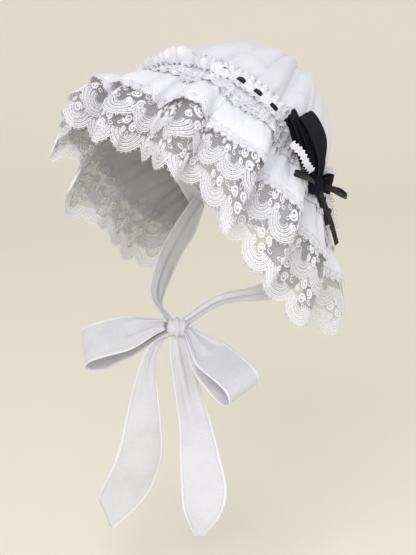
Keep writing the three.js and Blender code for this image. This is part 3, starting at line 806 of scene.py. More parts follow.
def fanTree():
    # one small scallop of crochet edging, flat: ribs spread like a fan between two bands, picots outside
    tree, given, end = newTree("edgingFan", [
        ("Width", "Float", 0.0125), ("Cord", "Float", 0.0005), ("Finish", "Material", None)])
    half = scaled(tree, given["Width"], 0.5)
    picotRow = 0.0012
    parts = []
    for inset, thick, points in ((picotRow, 1.1, 9), (0.0032, 1.0, 9), (0.0056, 0.9, 7)):
        height = sums(tree, "ADD", 0.0017, inset)
        rim, far = vectorOf(tree, X=scaled(tree, half, -1.0), Y=height), vectorOf(tree, X=half, Y=height)
        low = vectorOf(tree, Y=sums(tree, "ADD", -0.0016, inset))
        bow = addNode(tree, "GeometryNodeCurveQuadraticBezier", {
            "Resolution": points, "Start": rim, "Middle": low, "End": far}).outputs[0]
        parts.append(cordTube(tree, bow, scaled(tree, given["Cord"], thick)))
        if inset == picotRow:
            picot = cordTube(tree, circleOf(tree, 7, 0.0011), scaled(tree, given["Cord"], 0.75), 3)
            parts.append(addNode(tree, "GeometryNodeInstanceOnPoints", {
                "Points": resampled(tree, bow, 5),
                "Instance": placed(tree, picot, (0, -0.001, 0))}).outputs[0])
    for turn in (-0.85, -0.5, -0.17, 0.17, 0.5, 0.85):
        rib = addNode(tree, "GeometryNodeMeshCube", {"Size": (0.0007, 0.0072, 0.0005)})
        spot = (math.sin(-turn) * 0.0036 * -1.1, 0.0062, 0.0002)
        parts.append(placed(tree, rib.outputs[0], spot, (0, 0, turn)))
    for height, thick in ((0.0093, 1.0), (0.0106, 1.2)):
        parts.append(cordTube(tree, levelLine(tree, half, height), scaled(tree, given["Cord"], thick)))
    finishTree(tree, end, joined(tree, parts), given["Finish"])
    return tree


def crochetFinish(name, light, shade, pitch=0.0021):
    # close crochet ground with small eyelets, drawn on the cut pattern
    made, tree, skin = newFinish(name, light)
    flat, place = cutOf(tree), placeOf(tree)
    work = threadNet(tree, flat, pitch * 0.33, pitch, pitch * 0.9, 0.4)
    knots = noiseAt(tree, place, 900.0, 2.0)
    patches = noiseAt(tree, place, 40.0, 3.0)
    alpha = sums(tree, "MINIMUM", sums(tree, "MULTIPLY_ADD", work, 0.6, 0.42), 1.0)
    tree.links.new(alpha, skin.inputs["Alpha"])
    colour = blendColour(tree, between(tree, mixed(tree, knots, patches), 0.35, 0.65), shade, light)
    bump = bumped(tree, 0.7, 0.0004, work)
    coverSkin(tree, skin, colour, between(tree, knots, 0.3, 0.7, 0.7, 0.9), bump, 0.2)
    return made


def cottonFrill():
    at, depth = brimChart(frill["end"])
    x = np.linspace(0, edge, 701)[:, None]
    y = frill["edging"] + (depth - frill["edging"]) * np.linspace(0, 1, 34)[None, :]
    x, y = np.broadcast_arrays(x, y)
    points, normals = at(x, y, 2)
    share = (y - frill["edging"]) / (depth - frill["edging"])
    gathers = 0.45 - 1.5 * np.abs(waver(x / 4.5 + 0.5 * waver(y / 9, 90), 91)) * (0.35 + 0.65 * share)
    folds = np.minimum(0.9 * waver(x / 13 + y / 10, 92), 0.4)
    points = points + normals * ((gathers + folds) * rise(0.0, 0.3, share))[..., None]
    cloth = wear(netPiece("cottonRuffle", points, flatCut(x, y), cotton, 0.35), ["cotton_frill"])
    fans = int(round(edge / frill["fan"]))
    x = np.linspace(0, edge, fans * 6 + 1)
    local = np.abs((x / edge * fans) % 1.0 - 0.5) * 2
    low = 0.2 + 2.6 * local**2
    y = low[:, None] + (frill["edging"] + 0.6 - low)[:, None] * np.linspace(0, 1, 9)[None, :]
    x = np.broadcast_to(x[:, None], y.shape)
    points, normals = at(x, y, 2)
    ground = netPiece("edgingGround", points + 0.25 * normals, flatCut(x, y),
                      crochetFinish("crochetGround", lace["thread"], lace["threadShade"]))
    guide = guidePiece(at, depth, 2)
    fanUnit = runTree("fanUnit", fanTree(), emptyHost, {"Width": edge / fans / 1000, "Finish": embroidery})
    start = (cutMargin + edge / fans / 2000, cutMargin)
    fanRow = layRow("edgingFans", fanUnit, guide, fans, edge / fans / 1000, start, 0.0006)
    takeOut(guide, fanUnit)
    wear(ground, ["frill_edging"])
    wear(fanRow, [])
    print(f"bonnet: cotton frill, {depth:.0f} mm deep with its edging")


cottonFrill()


def topFrill():  # a short gathered lace over the start of the cotton frill
    top = frill["top"]
    at, depth = brimChart(top["end"])
    squeeze = lengthOf(at(np.linspace(0, edge, 600), np.zeros(600), 2)[0]) / edge
    fans = int(round(edge * squeeze / top["fan"]))
    x = np.linspace(0, edge, fans * 8 + 1)
    local = np.abs((x / edge * fans) % 1.0 - 0.5) * 2
    low = 0.3 + 1.8 * local**2
    reach = depth * 0.86

    def onTop(x, y):  # beyond reach the lace turns up into a header that stands in front of the band
        points, normals = at(x, np.minimum(y, reach), 2)
        ruche = (1.9 + 1.1 * np.sin(2 * math.pi * x / top["gather"] + 2.5 * waver(x / 60, 81))
                 * (1 - rise(0.5, 1.0, y / depth)))
        ruche = ruche + 0.8 * waver(x / 7 + y / 9, 82) * (1 - y / depth)
        up = np.maximum(y - reach, 0)
        s = np.interp(x, edgeLength, bandSteps)
        tall = top["header"][0] + (top["header"][1] - top["header"][0]) * rise(0.0, 0.26, s)
        tall = tall * (0.86 + 0.2 * waver(x / 24, 84))
        wave = 2.6 * waver(x / 9, 85) + 1.1 * np.sin(2 * math.pi * x / 15.0 + 3 * waver(x / 37, 83))
        wave = wave * up / top["header"][0]
        points = points + across * (0.3 * up * tall / top["header"][0] + wave)[..., None]
        stand = np.maximum(ruche, 0.9) + up * tall / top["header"][0]
        return points + normals * stand[..., None], normals

    y = low[:, None] + (reach + top["header"][0] - low)[:, None] * np.linspace(0, 1, 32)[None, :]
    x = np.broadcast_to(x[:, None], y.shape)
    points, normals = onTop(x, y)
    tulle = netFinish("topTulle", lace["thread"], lace["threadShade"], top["cover"])
    ground = netPiece("topTulleNet", points, flatCut(x, y), tulle)
    gx, gy = np.broadcast_arrays(
        np.linspace(0, edge, 661)[:, None], np.arange(-3.0, reach + 0.5, 1.6)[None, :])
    points, normals = onTop(gx, gy)
    guide = storeVectors(netPiece("topGuide", points, flatCut(gx, gy), None), "outward", normals)
    fanUnit = runTree("topFanUnit", fanTree(), emptyHost, {
        "Width": edge / fans / 1000, "Cord": 0.00042, "Finish": embroidery})
    start = (cutMargin + edge / fans / 2000, cutMargin)
    fanRow = layRow("topFans", fanUnit, guide, fans, edge / fans / 1000, start, 0.0003)
    spray = sprayUnit.copy()
    spray.data = sprayUnit.data.copy()
    spray.data.transform(Matrix.Diagonal((0.8 / squeeze, 0.8, 0.8, 1.0)))
    scene.collection.objects.link(spray)
    count = int(edge * squeeze / top["rosePitch"])
    start = (cutMargin + edge / count / 2000, cutMargin + 0.019)
    roses = layRow("topRoses", spray, guide, count, edge / count / 1000, start, 0.0003,
                   Jitter=(0.003, 0.002, 0.0), Turn=0.6, Seed=5)
    takeOut(guide, fanUnit, spray)
    for made in (ground, fanRow, roses):
        wear(made, [])
    cut = lengthOf(onTop(np.linspace(0, edge, 661), np.full(661, 6.0))[0])


def netFinish(name, light, shade, cover):  # fine white net that mostly hides what it lies on
    made, tree, skin = newFinish(name, light)
    flat, place = cutOf(tree), placeOf(tree)
    mesh = threadNet(tree, flat, 0.0002, 0.0016, 0.0012, 0.5)
    cloudy = noiseAt(tree, place, 45.0, 3.0)
    alpha = sums(tree, "MULTIPLY_ADD", cloudy, 0.3, cover - 0.15)
    alpha = sums(tree, "MULTIPLY_ADD", mesh, 0.4, alpha)
    tree.links.new(sums(tree, "MINIMUM", alpha, 1.0), skin.inputs["Alpha"])
    colour, bump = blendColour(tree, cloudy, shade, light), bumped(tree, 0.4, 0.0003, mesh)
    coverSkin(tree, skin, colour, between(tree, cloudy, 0.3, 0.7, 0.75, 0.9), bump, 0.2)
    return made


topFrill()


# crown, band and the ladder lace over their seam
crown = {
    "middle": (0.0, 43.0, 68.0),
    "size": (100.0, 98.0, 90.0),
    "fullness": 2.05,
    "pole": (0.0, 0.86, 0.51),
    "seam": 5.5,
    "napeDepth": (24.0, 22.0),
    "puffs": 18,
    "puffDepth": 7.0,
    "creases": [  # where round the rim, depth, how far it runs
        (0.335, 7, 0.75), (0.385, 6, 0.55), (0.455, 6, 0.6), (0.275, 5, 0.6), (0.215, 10, 0.85),
        (0.165, 9, 0.8), (0.12, 8, 0.7), (0.56, 5, 0.6), (0.66, 5, 0.5),
    ],
    "gathers": 74,  # small pleats at the seam
    "gatherDepth": 1.3,
    "crumple": 2.1,
    "seed": 21,
    "cloth": (0.77, 0.765, 0.79),
    "clothShade": (0.67, 0.665, 0.71),
}
crownCotton = clothFinish("crownCotton", crown["cloth"], crown["clothShade"], thread=0.0005, weave=0.6,
                          crumple=0.0014)


def bandSurface(s, w, lift):  # w in mm across the band, positive to the back
    at = (s + 1) / 2
    along = unit(through(bandRows, at + 1e-3) - through(bandRows, at - 1e-3))
    out = unit(np.cross(along, across))
    return through(bandRows, at) + across * w[..., None] + out * np.asarray(lift)[..., None], out


def rimPoint(at):  # round the whole rim from 0 to 1, the band first
    share = 0.7
    s = np.clip(1 - 2 * at / share, -1, 1)
    front = bandSurface(s, np.full_like(s, crown["seam"]), np.zeros_like(s))[0]
    end = bandSurface(np.array(-1.0), np.array(crown["seam"]), np.array(0.0))[0]
    turn = math.pi * (at - share) / (1 - share)
    deep, low = crown["napeDepth"]
    nape = np.stack([end[0] * np.cos(turn), end[1] + deep * np.sin(turn), end[2] - low * np.sin(turn)], -1)
    return np.where((at < share)[..., None], front, nape)


def crownPoint(at, t):
    at, t = np.broadcast_arrays(at, t)
    middle, around = np.array(crown["middle"]), at % 1.0
    rim = rimPoint(around) - middle
    reach = np.linalg.norm(rim, axis=-1)
    start, pole = unit(rim), unit(np.array(crown["pole"]))
    angle = np.arccos(np.clip(start @ pole, -1, 1))
    aim = unit(start * np.sin((1 - t) * angle)[..., None] + pole * np.sin(t * angle)[..., None])
    full = crown["fullness"]
    egg = (np.abs(aim / np.array(crown["size"])) ** full).sum(-1) ** (-1 / full)
    radius = reach + (egg - reach) * rise(0, 0.16, t) + 4 * rise(0, 0.08, t) * (1 - rise(0.1, 0.4, t))
    seed, puffs = crown["seed"], crown["puffs"]
    ring = around * puffs  # the noise below closes on itself after a whole turn
    uneven = (around + 0.014 * loopNoise(ring, puffs, seed)
              + 0.022 * loopNoise(ring / 2, puffs / 2, seed + 1) * rise(0, 0.7, t))
    puff = np.abs(np.sin(math.pi * uneven * puffs))
    far = 0.62 + 0.3 * loopNoise(np.round(uneven * puffs), puffs, seed + 2)
    deep = crown["puffDepth"] * (0.72 + 0.62 * loopNoise(np.round(uneven * puffs), puffs, seed + 3))
    radius = radius - deep * (1 - puff**0.55) * rise(0, 0.06, t) * (1 - rise(0.45 * far, far + 0.3, t))
    for where, depth, runs in crown["creases"]:
        d = np.abs(around - where) * puffs
        radius = (radius - depth * np.maximum(0, 1 - d / 0.7) ** 1.3 * rise(0.03, 0.14, t)
                  * (1 - rise(runs * 0.5, runs, t)))
    pleat = around * crown["gathers"] + 0.5 * loopNoise(ring * 2, 2 * puffs, seed + 4)
    small = np.sin(2 * math.pi * pleat)
    radius = radius + crown["gatherDepth"] * small * rise(0.0, 0.03, t) * (1 - rise(0.06, 0.22, t))
    soft = loopNoise(ring * 2.0 + 4 * t, 36, seed + 6) * waver(t * 3.2 + 4, seed + 7)
    radius = radius + crown["crumple"] * soft * rise(0.05, 0.3, t) * (1 - rise(0.8, 1.0, t))
    return aim * radius[..., None] + middle


def crownCloth():
    columns, rows = 432, 84
    at = (np.arange(columns) / columns)[:, None]
    t = (np.linspace(0, 1, rows + 1)[:-1] ** 1.15)[None, :]
    points = crownPoint(at, t)
    gone = np.cumsum(np.linalg.norm(np.diff(points, axis=1), axis=2), axis=1)
    left = gone[:, -1:] - np.hstack([np.zeros((columns, 1)), gone])
    turn = 2 * math.pi * at
    flat = np.stack([0.25 + left / 1000 * np.cos(turn), 0.25 + left / 1000 * np.sin(turn)], -1)
    tip = crownPoint(np.array([0.0]), np.array([1.0]))
    faces = gridFaces(columns, rows, wrap=True)
    last = columns * rows
    faces += [(i * rows + rows - 1, (i + 1) % columns * rows + rows - 1, last) for i in range(columns)]
    made = meshPiece("crownCloth", np.vstack([points.reshape(-1, 3), tip]), faces, crownCotton,
                     np.vstack([flat.reshape(-1, 2), [[0.25, 0.25]]]))
    wall = made.modifiers.new("cloth thickness", "SOLIDIFY")
    wall.thickness, wall.offset = 0.0005, 0.0
    wear(made, ["crown"])
    at = np.linspace(0.705, 0.995, 121)[:, None]
    t = np.linspace(-0.004, 0.045, 7)[None, :]
    points = crownPoint(at, np.maximum(t, 0) + 0 * at)
    lift = 0.9 + 0.5 * np.sin(np.linspace(0, math.pi, 7))
    points = points + unit(points - np.array(crown["middle"])) * lift[None, :, None]
    at, t = np.broadcast_arrays(at, t)
    hem = netPiece("napeCasing", points, np.stack([at * 0.5, 0.3 + t * 0.2], -1), cotton, 0.4)
    wear(hem, [])
    print("bonnet: crown")


crownCloth()


def bandCloth():
    s = np.linspace(-1, 1, 241)[:, None]
    w = np.linspace(-13, 6, 8)[None, :]
    s, w = np.broadcast_arrays(s, w)
    points = bandSurface(s, w, -2.6 + 0 * w)[0]
    length = float(bandLength[-1])
    flat = np.stack([cutMargin + (s + 1) / 2 * length / 1000, cutMargin + (w + 13) / 1000], -1)
    made = wear(netPiece("innerBand", points, flat, cotton, 0.9), ["band"])


bandCloth()


# the ladder lace and the black ribbon in it
ladder = {
    "slots": 27,
    "span": 0.985,
    "front": -6.5,  # mm across from the seam
    "back": 12.5,
    "slotFrom": 0.4,
    "slotTo": 6.2,
    "openShare": 0.42,  # how much of each repeat is the slot
    "lift": 6.9,
    "frill": 2.6,  # how far the looped edges wave
    "ribbonWidth": 6.4,
    "thread": (0.93, 0.93, 0.95),
    "black": (0.012, 0.012, 0.016),
    "blackShade": (0.006, 0.006, 0.009),
}


def ladderUnitTree():
    # one repeat of the ladder lace, flat: four rails, bars beside the slot, and loops on both edges
    tree, given, end = newTree("ladderRepeat", [
        ("Width", "Float", 0.017), ("Slot", "Float", 0.0073), ("Cord", "Float", 0.00055),
        ("Finish", "Material", None)])
    half = scaled(tree, given["Width"], 0.5)
    parts = []
    for height, thick in ((-0.0042, 0.9), (-0.0022, 1.0), (0.0002, 1.7), (0.0064, 1.7), (0.0084, 1.0),
                          (0.0104, 0.9)):
        fine = resampled(tree, levelLine(tree, half, height), 13)
        parts.append(cordTube(tree, fine, scaled(tree, given["Cord"], thick)))
    for height in (-0.0058, 0.0120):
        spots = resampled(tree, levelLine(tree, half, height), 7)
        picot = cordTube(tree, circleOf(tree, 9, 0.0015), scaled(tree, given["Cord"], 0.8), 3)
        parts.append(addNode(tree, "GeometryNodeInstanceOnPoints", {
            "Points": spots, "Instance": picot}).outputs[0])
    for share in (-1.0, 1.0):
        for step in (0.0, 0.0016, 0.0032):
            x = scaled(tree, sums(tree, "MULTIPLY_ADD", given["Slot"], 0.5, 0.0007 + step), share)
            bar = addNode(tree, "GeometryNodeMeshCube", {"Size": (0.0008, 0.0062, 0.0007)})
            parts.append(placed(tree, bar.outputs[0], vectorOf(tree, X=x, Y=0.0033)))
    finishTree(tree, end, joined(tree, parts), given["Finish"])
    return tree


def stripFrame(s, w, waveTo=1.0):  # the ladder lace's own surface, waving along both edges
    far = np.maximum(rise(ladder["slotTo"], ladder["back"], w),
                     rise(-ladder["slotFrom"], -ladder["front"], -w))
    length = (s + 1) / 2 * float(bandLength[-1])
    wave = np.sin(2 * math.pi * length / 7.2 + 1.5 * waver(length / 15, 31)) + 0.5 * waver(length / 4, 32)
    lift = ladder["lift"] + 0.4 * np.maximum(0, -w) + ladder["frill"] * wave * far * waveTo + 0.5 * far
    return bandSurface(s, w, lift)


def ladderLace():
    length = float(bandLength[-1]) * ladder["span"]
    repeat = length / ladder["slots"]
    stripes = np.array([ladder["front"], -4.2, -2.2, ladder["slotFrom"], 1.8, 3.4, 5.0, ladder["slotTo"],
                        8.3, 10.3, ladder["back"]])
    fine = 14
    along = np.linspace(0, length, ladder["slots"] * fine + 1)
    s = np.interp(along + (float(bandLength[-1]) - length) / 2, bandLength, bandSteps)
    points = stripFrame(s[:, None] + 0 * stripes, stripes + 0 * s[:, None])[0]
    flat = np.stack(np.broadcast_arrays(cutMargin + along[:, None] / 1000,
                                        stripMargin + stripes[None, :] / 1000), -1)
    faces = []
    for face in gridFaces(len(along), len(stripes)):
        i, j = face[0] // len(stripes), face[0] % len(stripes)
        inRepeat = (i % fine + 0.5) / fine
        if not (3 <= j <= 6 and abs(inRepeat - 0.5) < ladder["openShare"] / 2):
            faces.append(face)
    finish = crochetFinish("ladderGround", ladder["thread"], lace["threadShade"], 0.0016)
    ground = meshPiece("ladderGround", points.reshape(-1, 3), faces, finish, flat.reshape(-1, 2))
    w = np.arange(-10.0, 16.5, 0.75)
    guideLine = np.linspace(0, length, 560)
    s = np.interp(guideLine + (float(bandLength[-1]) - length) / 2, bandLength, bandSteps)
    points = stripFrame(s[:, None] + 0 * w, w + 0 * s[:, None])[0]
    flat = np.stack(np.broadcast_arrays(cutMargin + guideLine[:, None] / 1000,
                                        stripMargin + w[None, :] / 1000), -1)
    guide = storeVectors(netPiece("ladderGuide", points, flat, None), "outward", netNormals(points))
    unitPiece = runTree("ladderUnit", ladderUnitTree(), emptyHost, {
        "Width": repeat / 1000, "Slot": ladder["openShare"] * repeat / 1000, "Finish": embroidery})
    start = (cutMargin + repeat / 2000, stripMargin)
    bars = layRow("ladderCords", unitPiece, guide, ladder["slots"], repeat / 1000, start, 0.0003)
    takeOut(guide, unitPiece)
    wear(ground, ["beading_lace"])
    wear(bars, [])
    half = ladder["ribbonWidth"] / 2
    along = np.linspace(0, length, ladder["slots"] * 12 + 1)
    s = np.interp(along + (float(bandLength[-1]) - length) / 2, bandLength, bandSteps)
    side = np.linspace(-1, 1, 7)[None, :]
    slot = np.floor(along / repeat)
    full, tilt = 1 + 0.25 * waver(slot * 3 + 1, 71), waver(slot * 5 + 2, 72)
    over = (0.5 - 0.5 * np.cos(2 * math.pi * along / repeat)) ** 1.5
    width = half * (0.62 + 0.42 * over * full)
    w = 3.3 + (0.5 * tilt * over)[:, None] + width[:, None] * side
    lift = (5.6 + (2.9 * over * full)[:, None] + (1.1 * tilt * over)[:, None] * side
            + 0.5 * over[:, None] * np.cos(1.5 * side))
    points = bandSurface(s[:, None] + 0 * w, w, lift)[0]
    flat = np.stack(np.broadcast_arrays(cutMargin + along[:, None] / 1000,
                                        stripMargin + half * side / 1000), -1)
    made = wear(netPiece("blackRibbon", points, flat, satin, 0.25), ["threaded_ribbon"])
    print(f"bonnet: ladder lace with {ladder['slots']} slots, {length:.0f} mm")


def satinFinish(name, light, shade):
    # ribbed ribbon: fine cross ribs and a soft gleam
    made, tree, skin = newFinish(name, light)
    flat, place = cutOf(tree), placeOf(tree)
    ribs = addNode(tree, "ShaderNodeTexWave", {
        "Vector": flat, "Scale": 420.0, "Distortion": 0.4}, bands_direction="X").outputs["Fac"]
    patches = noiseAt(tree, place, 60.0, 3.0)
    colour, bump = blendColour(tree, patches, shade, light), bumped(tree, 0.25, 0.0002, ribs)
    coverSkin(tree, skin, colour, between(tree, patches, 0.3, 0.7, 0.36, 0.5), bump, 0.25)
    return made


satin = satinFinish("blackSatin", ladder["black"], ladder["blackShade"])
ladderLace()


# bows and ties: ribbons, loops and knots
def pleated(at, us, vs, full, pleats, seed, crease=0.5, smoothFrom=2.0):
    # at(u, v) gives a smooth strip; cloth wider than that falls into soft lengthwise pleats near its knot
    u, v = np.broadcast_arrays(us[:, None], vs[None, :])
    points = at(u, v)
    step = 1e-3
    normals = unit(np.cross(at(u + step, v) - at(u - step, v), at(u, v + step) - at(u, v - step)))
    width = np.linalg.norm(points[:, -1] - points[:, 0], axis=1)[:, None]
    slack = np.clip(full / np.maximum(width, 1) - 1.12, 0, 3)
    deep = np.minimum(width / (pleats * math.pi) * np.sqrt(slack), 2.3)
    deep = deep * (1 - rise(smoothFrom, smoothFrom + 0.3, u))
    spread = v + 0.2 * waver(v * 2.1 + seed, seed + 1) + 0.1 * waver(u * 5 + seed, seed)
    fold = (np.sin(math.pi * pleats * spread + seed) * (1 - 0.3 * v**2)
            * (0.8 + 0.4 * waver(v * 1.7 + u * 4 + 9, seed + 2)))
    small = waver(u * 9 + 1.5 * v, seed + 3) * waver(v * 2 + u * 3 + 50, seed + 5)
    return points + normals * (deep * fold + crease * small)[..., None], normals


def loopLine(loop):
    knot, tip, side = (np.array(loop[k], float) for k in ("knot", "tip", "side"))
    side, reach, sag = unit(side), tip - knot, np.array(loop["sag"], float)
    out = unit(np.cross(reach, side))
    out = out if out @ np.array(loop["face"]) > 0 else -out

    def at(t, v):
        a = math.pi * t
        far = np.sin(a) ** 0.72
        puffed = loop["puff"] * np.cos(a) * (0.16 + 0.84 * np.sin(a) ** loop.get("late", 1))
        width = loop["neck"] + (loop["width"] - loop["neck"]) * rise(0, loop.get("wide", 0.75), far)
        return (knot + reach * far[..., None] + out * puffed[..., None]
                + sag * (far * (1 - far) * 4)[..., None] + side * (v * width / 2)[..., None])

    begin = math.asin((loop["clear"] / np.linalg.norm(reach)) ** (1 / 0.72)) / math.pi
    return at, begin


def ribbonLine(rows):
    points, sides, widths = ([r[k] for r in rows] for k in ("at", "side", "width"))
    cups = [r.get("cup", 0) for r in rows]
    sides = unit(np.array(sides, float))
    sizes = np.stack([widths, cups, np.zeros(len(rows))], -1)

    def at(u, v):
        c = np.clip(u, 0, 1)
        side, size = unit(through(sides, c)), through(sizes, c)
        along = unit(through(points, c + 0.004) - through(points, c - 0.004))
        up = unit(np.cross(along, side))
        return (through(points, u) + side * (v * size[..., 0] / 2)[..., None]
                + up * (size[..., 1] * (1 - v * v))[..., None])

    return at


def clothStrip(name, node, at, span, full, pleats, finish, thick, seed, rows=(48, 16), hem=0.0,
               crease=0.5, smoothFrom=2.0):
    us, vs = np.linspace(*span, rows[0] + 1), np.linspace(-1, 1, rows[1] + 1)
    points, normals = pleated(at, us, vs, full, pleats, seed, crease, smoothFrom)
    gone = lengthsAlong(points[:, rows[1] // 2])
    width = max(full, 1)
    flat = np.stack(np.broadcast_arrays(
        cutMargin + gone[:, None] / 1000, stripMargin + width / 2000 * (1 + vs[None, :])), -1)
    made = wear(netPiece(name, points, flat, finish, thick), [node])
    parts = [stitchRow(name, points, normals, hem)] if hem else []
    for part in parts:
        wear(part, [])
    return made


def stitchRow(name, points, normals, inset):  # a row of topstitches along both edges
    lines = []
    for side in (0, -1):
        edge, inner = points[:, side], points[:, 1 if side == 0 else -2]
        line = edge + unit(inner - edge) * inset
        for face in (1, -1):
            lines.append(line + face * 0.45 * (normals[:, side]))
    spots, turns = [], []
    for line in lines:
        gone = lengthsAlong(line)
        marks = np.arange(1.5, gone[-1] - 1.5, 2.6)
        here = np.stack([np.interp(marks, gone, line[:, k]) for k in range(3)], -1)
        ahead = np.stack([np.interp(marks + 0.4, gone, line[:, k]) for k in range(3)], -1)
        spots.append(here)
        turns.append(unit(ahead - here))
    spots, turns = np.vstack(spots), np.vstack(turns)
    host = storeVectors(meshPiece(name + "StitchSpots", spots, [], None), "along", turns)
    made = runTree(name + "Stitches", stitchTree, host, {"Finish": thread})
    takeOut(host)
    return made


def stitchTreeOf():
    tree, given, end = newTree("topStitches", [
        ("Length", "Float", 0.0019), ("Width", "Float", 0.00045), ("Finish", "Material", None)])
    size = vectorOf(tree, X=given["Length"], Y=given["Width"], Z=given["Width"])
    unitStitch = addNode(tree, "GeometryNodeMeshCube", {"Size": size})
    along = addNode(tree, "GeometryNodeInputNamedAttribute", {"Name": "along"},
                    data_type="FLOAT_VECTOR").outputs[0]
    turned = addNode(tree, "FunctionNodeAlignEulerToVector", {"Vector": along}, axis="X")
    many = addNode(tree, "GeometryNodeInstanceOnPoints", {
        "Points": given["Geometry"], "Instance": unitStitch.outputs[0], "Rotation": turned.outputs[0]})
    finishTree(tree, end, many.outputs[0], given["Finish"])
    return tree


def wrappedKnot(name, node, middle, size, pole, finish, seed, folds=3.2, deep=0.075):
    # cloth wound round the knot: folds run round the pole axis, with the last turn tucked under
    pole = unit(np.array(pole, float))
    other = np.array([0.3, 0.2, 1.0]) if abs(pole[2]) < 0.8 else np.array([1.0, 0.2, 0.1])
    first = unit(np.cross(pole, other))
    second = np.cross(pole, first)
    around, down = 72, 40
    b = np.linspace(-math.pi / 2, math.pi / 2, down + 1)[1:-1]
    a = np.arange(around) / around * 2 * math.pi
    b, a = np.broadcast_arrays(b[None, :], a[:, None])
    slant = 0.16 * np.sin(a + seed) + 0.07 * np.sin(2 * a + 2 * seed)
    ring = np.sin(b) + slant
    squared = np.cos(b) ** 0.42
    fold = (1 + deep * np.cos(2 * math.pi * folds / 2 * ring) * np.cos(b) ** 0.4
            + 0.02 * waver(a / math.pi * 9, seed))
    reach = squared * fold
    turned = first * np.cos(a)[..., None] + second * np.sin(a)[..., None]
    aim = pole * (np.sin(b) * 0.98)[..., None] + turned * reach[..., None]
    points = np.array(middle) + aim * np.array(size)
    count, rows = points.shape[:2]
    tip = pole * np.array(size) * 0.9
    ends = np.array([np.array(middle) - tip, np.array(middle) + tip])
    faces = gridFaces(count, rows, wrap=True)
    base = count * rows
    for i in range(count):
        n = (i + 1) % count
        faces.append((n * rows, i * rows, base))
        faces.append((i * rows + rows - 1, n * rows + rows - 1, base + 1))
    flat = np.stack([cutMargin + a / (2 * math.pi) * 0.05, 0.053 + np.sin(b) * 0.008], -1).reshape(-1, 2)
    flat = np.vstack([flat, [[0.02, 0.043], [0.02, 0.063]]])
    points = np.vstack([points.reshape(-1, 3), ends])
    made = wear(meshPiece(name, points, faces, finish, flat), [node])
    return made


# the black bow at the +X side, and the ties with their own bow below the hollow
sideBow = {
    "knot": {"middle": (117, 34, 34), "size": (8, 8, 10), "pole": (-0.1, -0.3, 1.0)},
    "loops": [  # name, CAD node, loop, cloth width, pleats, thickness
        ("sideLoopFront", "side_bow_loop_front", dict(
            knot=(115, 30, 36), tip=(108, 8, 107), side=(-0.4, 0.88, 0.27), face=(1, -0.6, 0),
            width=20, neck=14, puff=5, clear=5.8, sag=(10.4, -9.3, 0)), 23, 1.7, 0.7),
        ("sideLoopBack", "side_bow_loop_back", dict(
            knot=(119.5, 35, 37), tip=(113, 22, 104), side=(-0.28, 0.96, 0.05), face=(1, 0, 0),
            width=30, neck=16, puff=8, clear=6, sag=(15, -6, 0)), 33, 1.8, 0.7),
        ("sideLoopLow", "side_bow_loop_low", dict(
            knot=(117.5, 38, 33), tip=(111, 65, 27), side=(0.1, 0.2, 1), face=(1, 0, 0),
            width=20, neck=13, puff=6, clear=4.9, sag=(3, 0, 0)), 22, 1.6, 0.7),
        ("narrowLoopFront", "narrow_loop_front", dict(
            knot=(121, 30, 34), tip=(133, -14, 55), side=(0.48, -0.3, 0.8), face=(1, 0, 0),
            width=7, neck=5, puff=5.5, clear=4, sag=(4, 0, 2)), 7, 1.0, 0.5),
        ("narrowLoopBack", "narrow_loop_back", dict(
            knot=(123.6, 39.5, 31), tip=(118, 82, 13), side=(0.48, -0.4, 0.78), face=(1, 0, 0),
            width=7, neck=5, puff=8, clear=3, sag=(3, 0, 0)), 7, 1.0, 0.5),
    ],
    "tails": [
        ("narrowTailLong", "narrow_tail_long", [
            dict(at=(121.7, 37.4, 26.2), side=(0, 1, 0.4), width=5),
            dict(at=(121, 48, 6), side=(0, 1, 0.4), width=6),
            dict(at=(118, 60, -12), side=(0, 1, 0.4), width=6),
            dict(at=(115, 73, -37), side=(0, 1, 0.4), width=6)]),
        ("narrowTailShort", "narrow_tail_short", [
            dict(at=(117.9, 37.4, 24.6), side=(0, 1, 0.4), width=5),
            dict(at=(117, 46, 10), side=(0, 1, 0.4), width=6),
            dict(at=(115, 54, -2), side=(0, 1, 0.2), width=6),
            dict(at=(112.5, 60, -15), side=(0, 1, 0), width=6)]),
    ],
    "laces": [
        ("bowLaceFront", "bow_lace_front", [
            dict(at=(127, -13, 83), side=(0.3, 0.6, 0.8), width=6.5),
            dict(at=(128.5, 0, 72), side=(0.3, 0.6, 0.8), width=7),
            dict(at=(130.5, 6, 60), side=(0.3, 0.7, 0.5), width=7),
            dict(at=(129, 16, 51), side=(0.3, 0.8, 0.4), width=6.5)]),
        ("bowLaceBack", "bow_lace_back", [
            dict(at=(106.4, 58.5, 41.5), side=(0, 0.3, 1), width=9),
            dict(at=(105.9, 68.5, 38.5), side=(0, 0.3, 1), width=10),
            dict(at=(105.4, 78.5, 31.5), side=(0, 0.6, 1), width=10)]),
    ],
    "cloth": (0.013, 0.013, 0.017),
    "clothShade": (0.008, 0.008, 0.011),
}

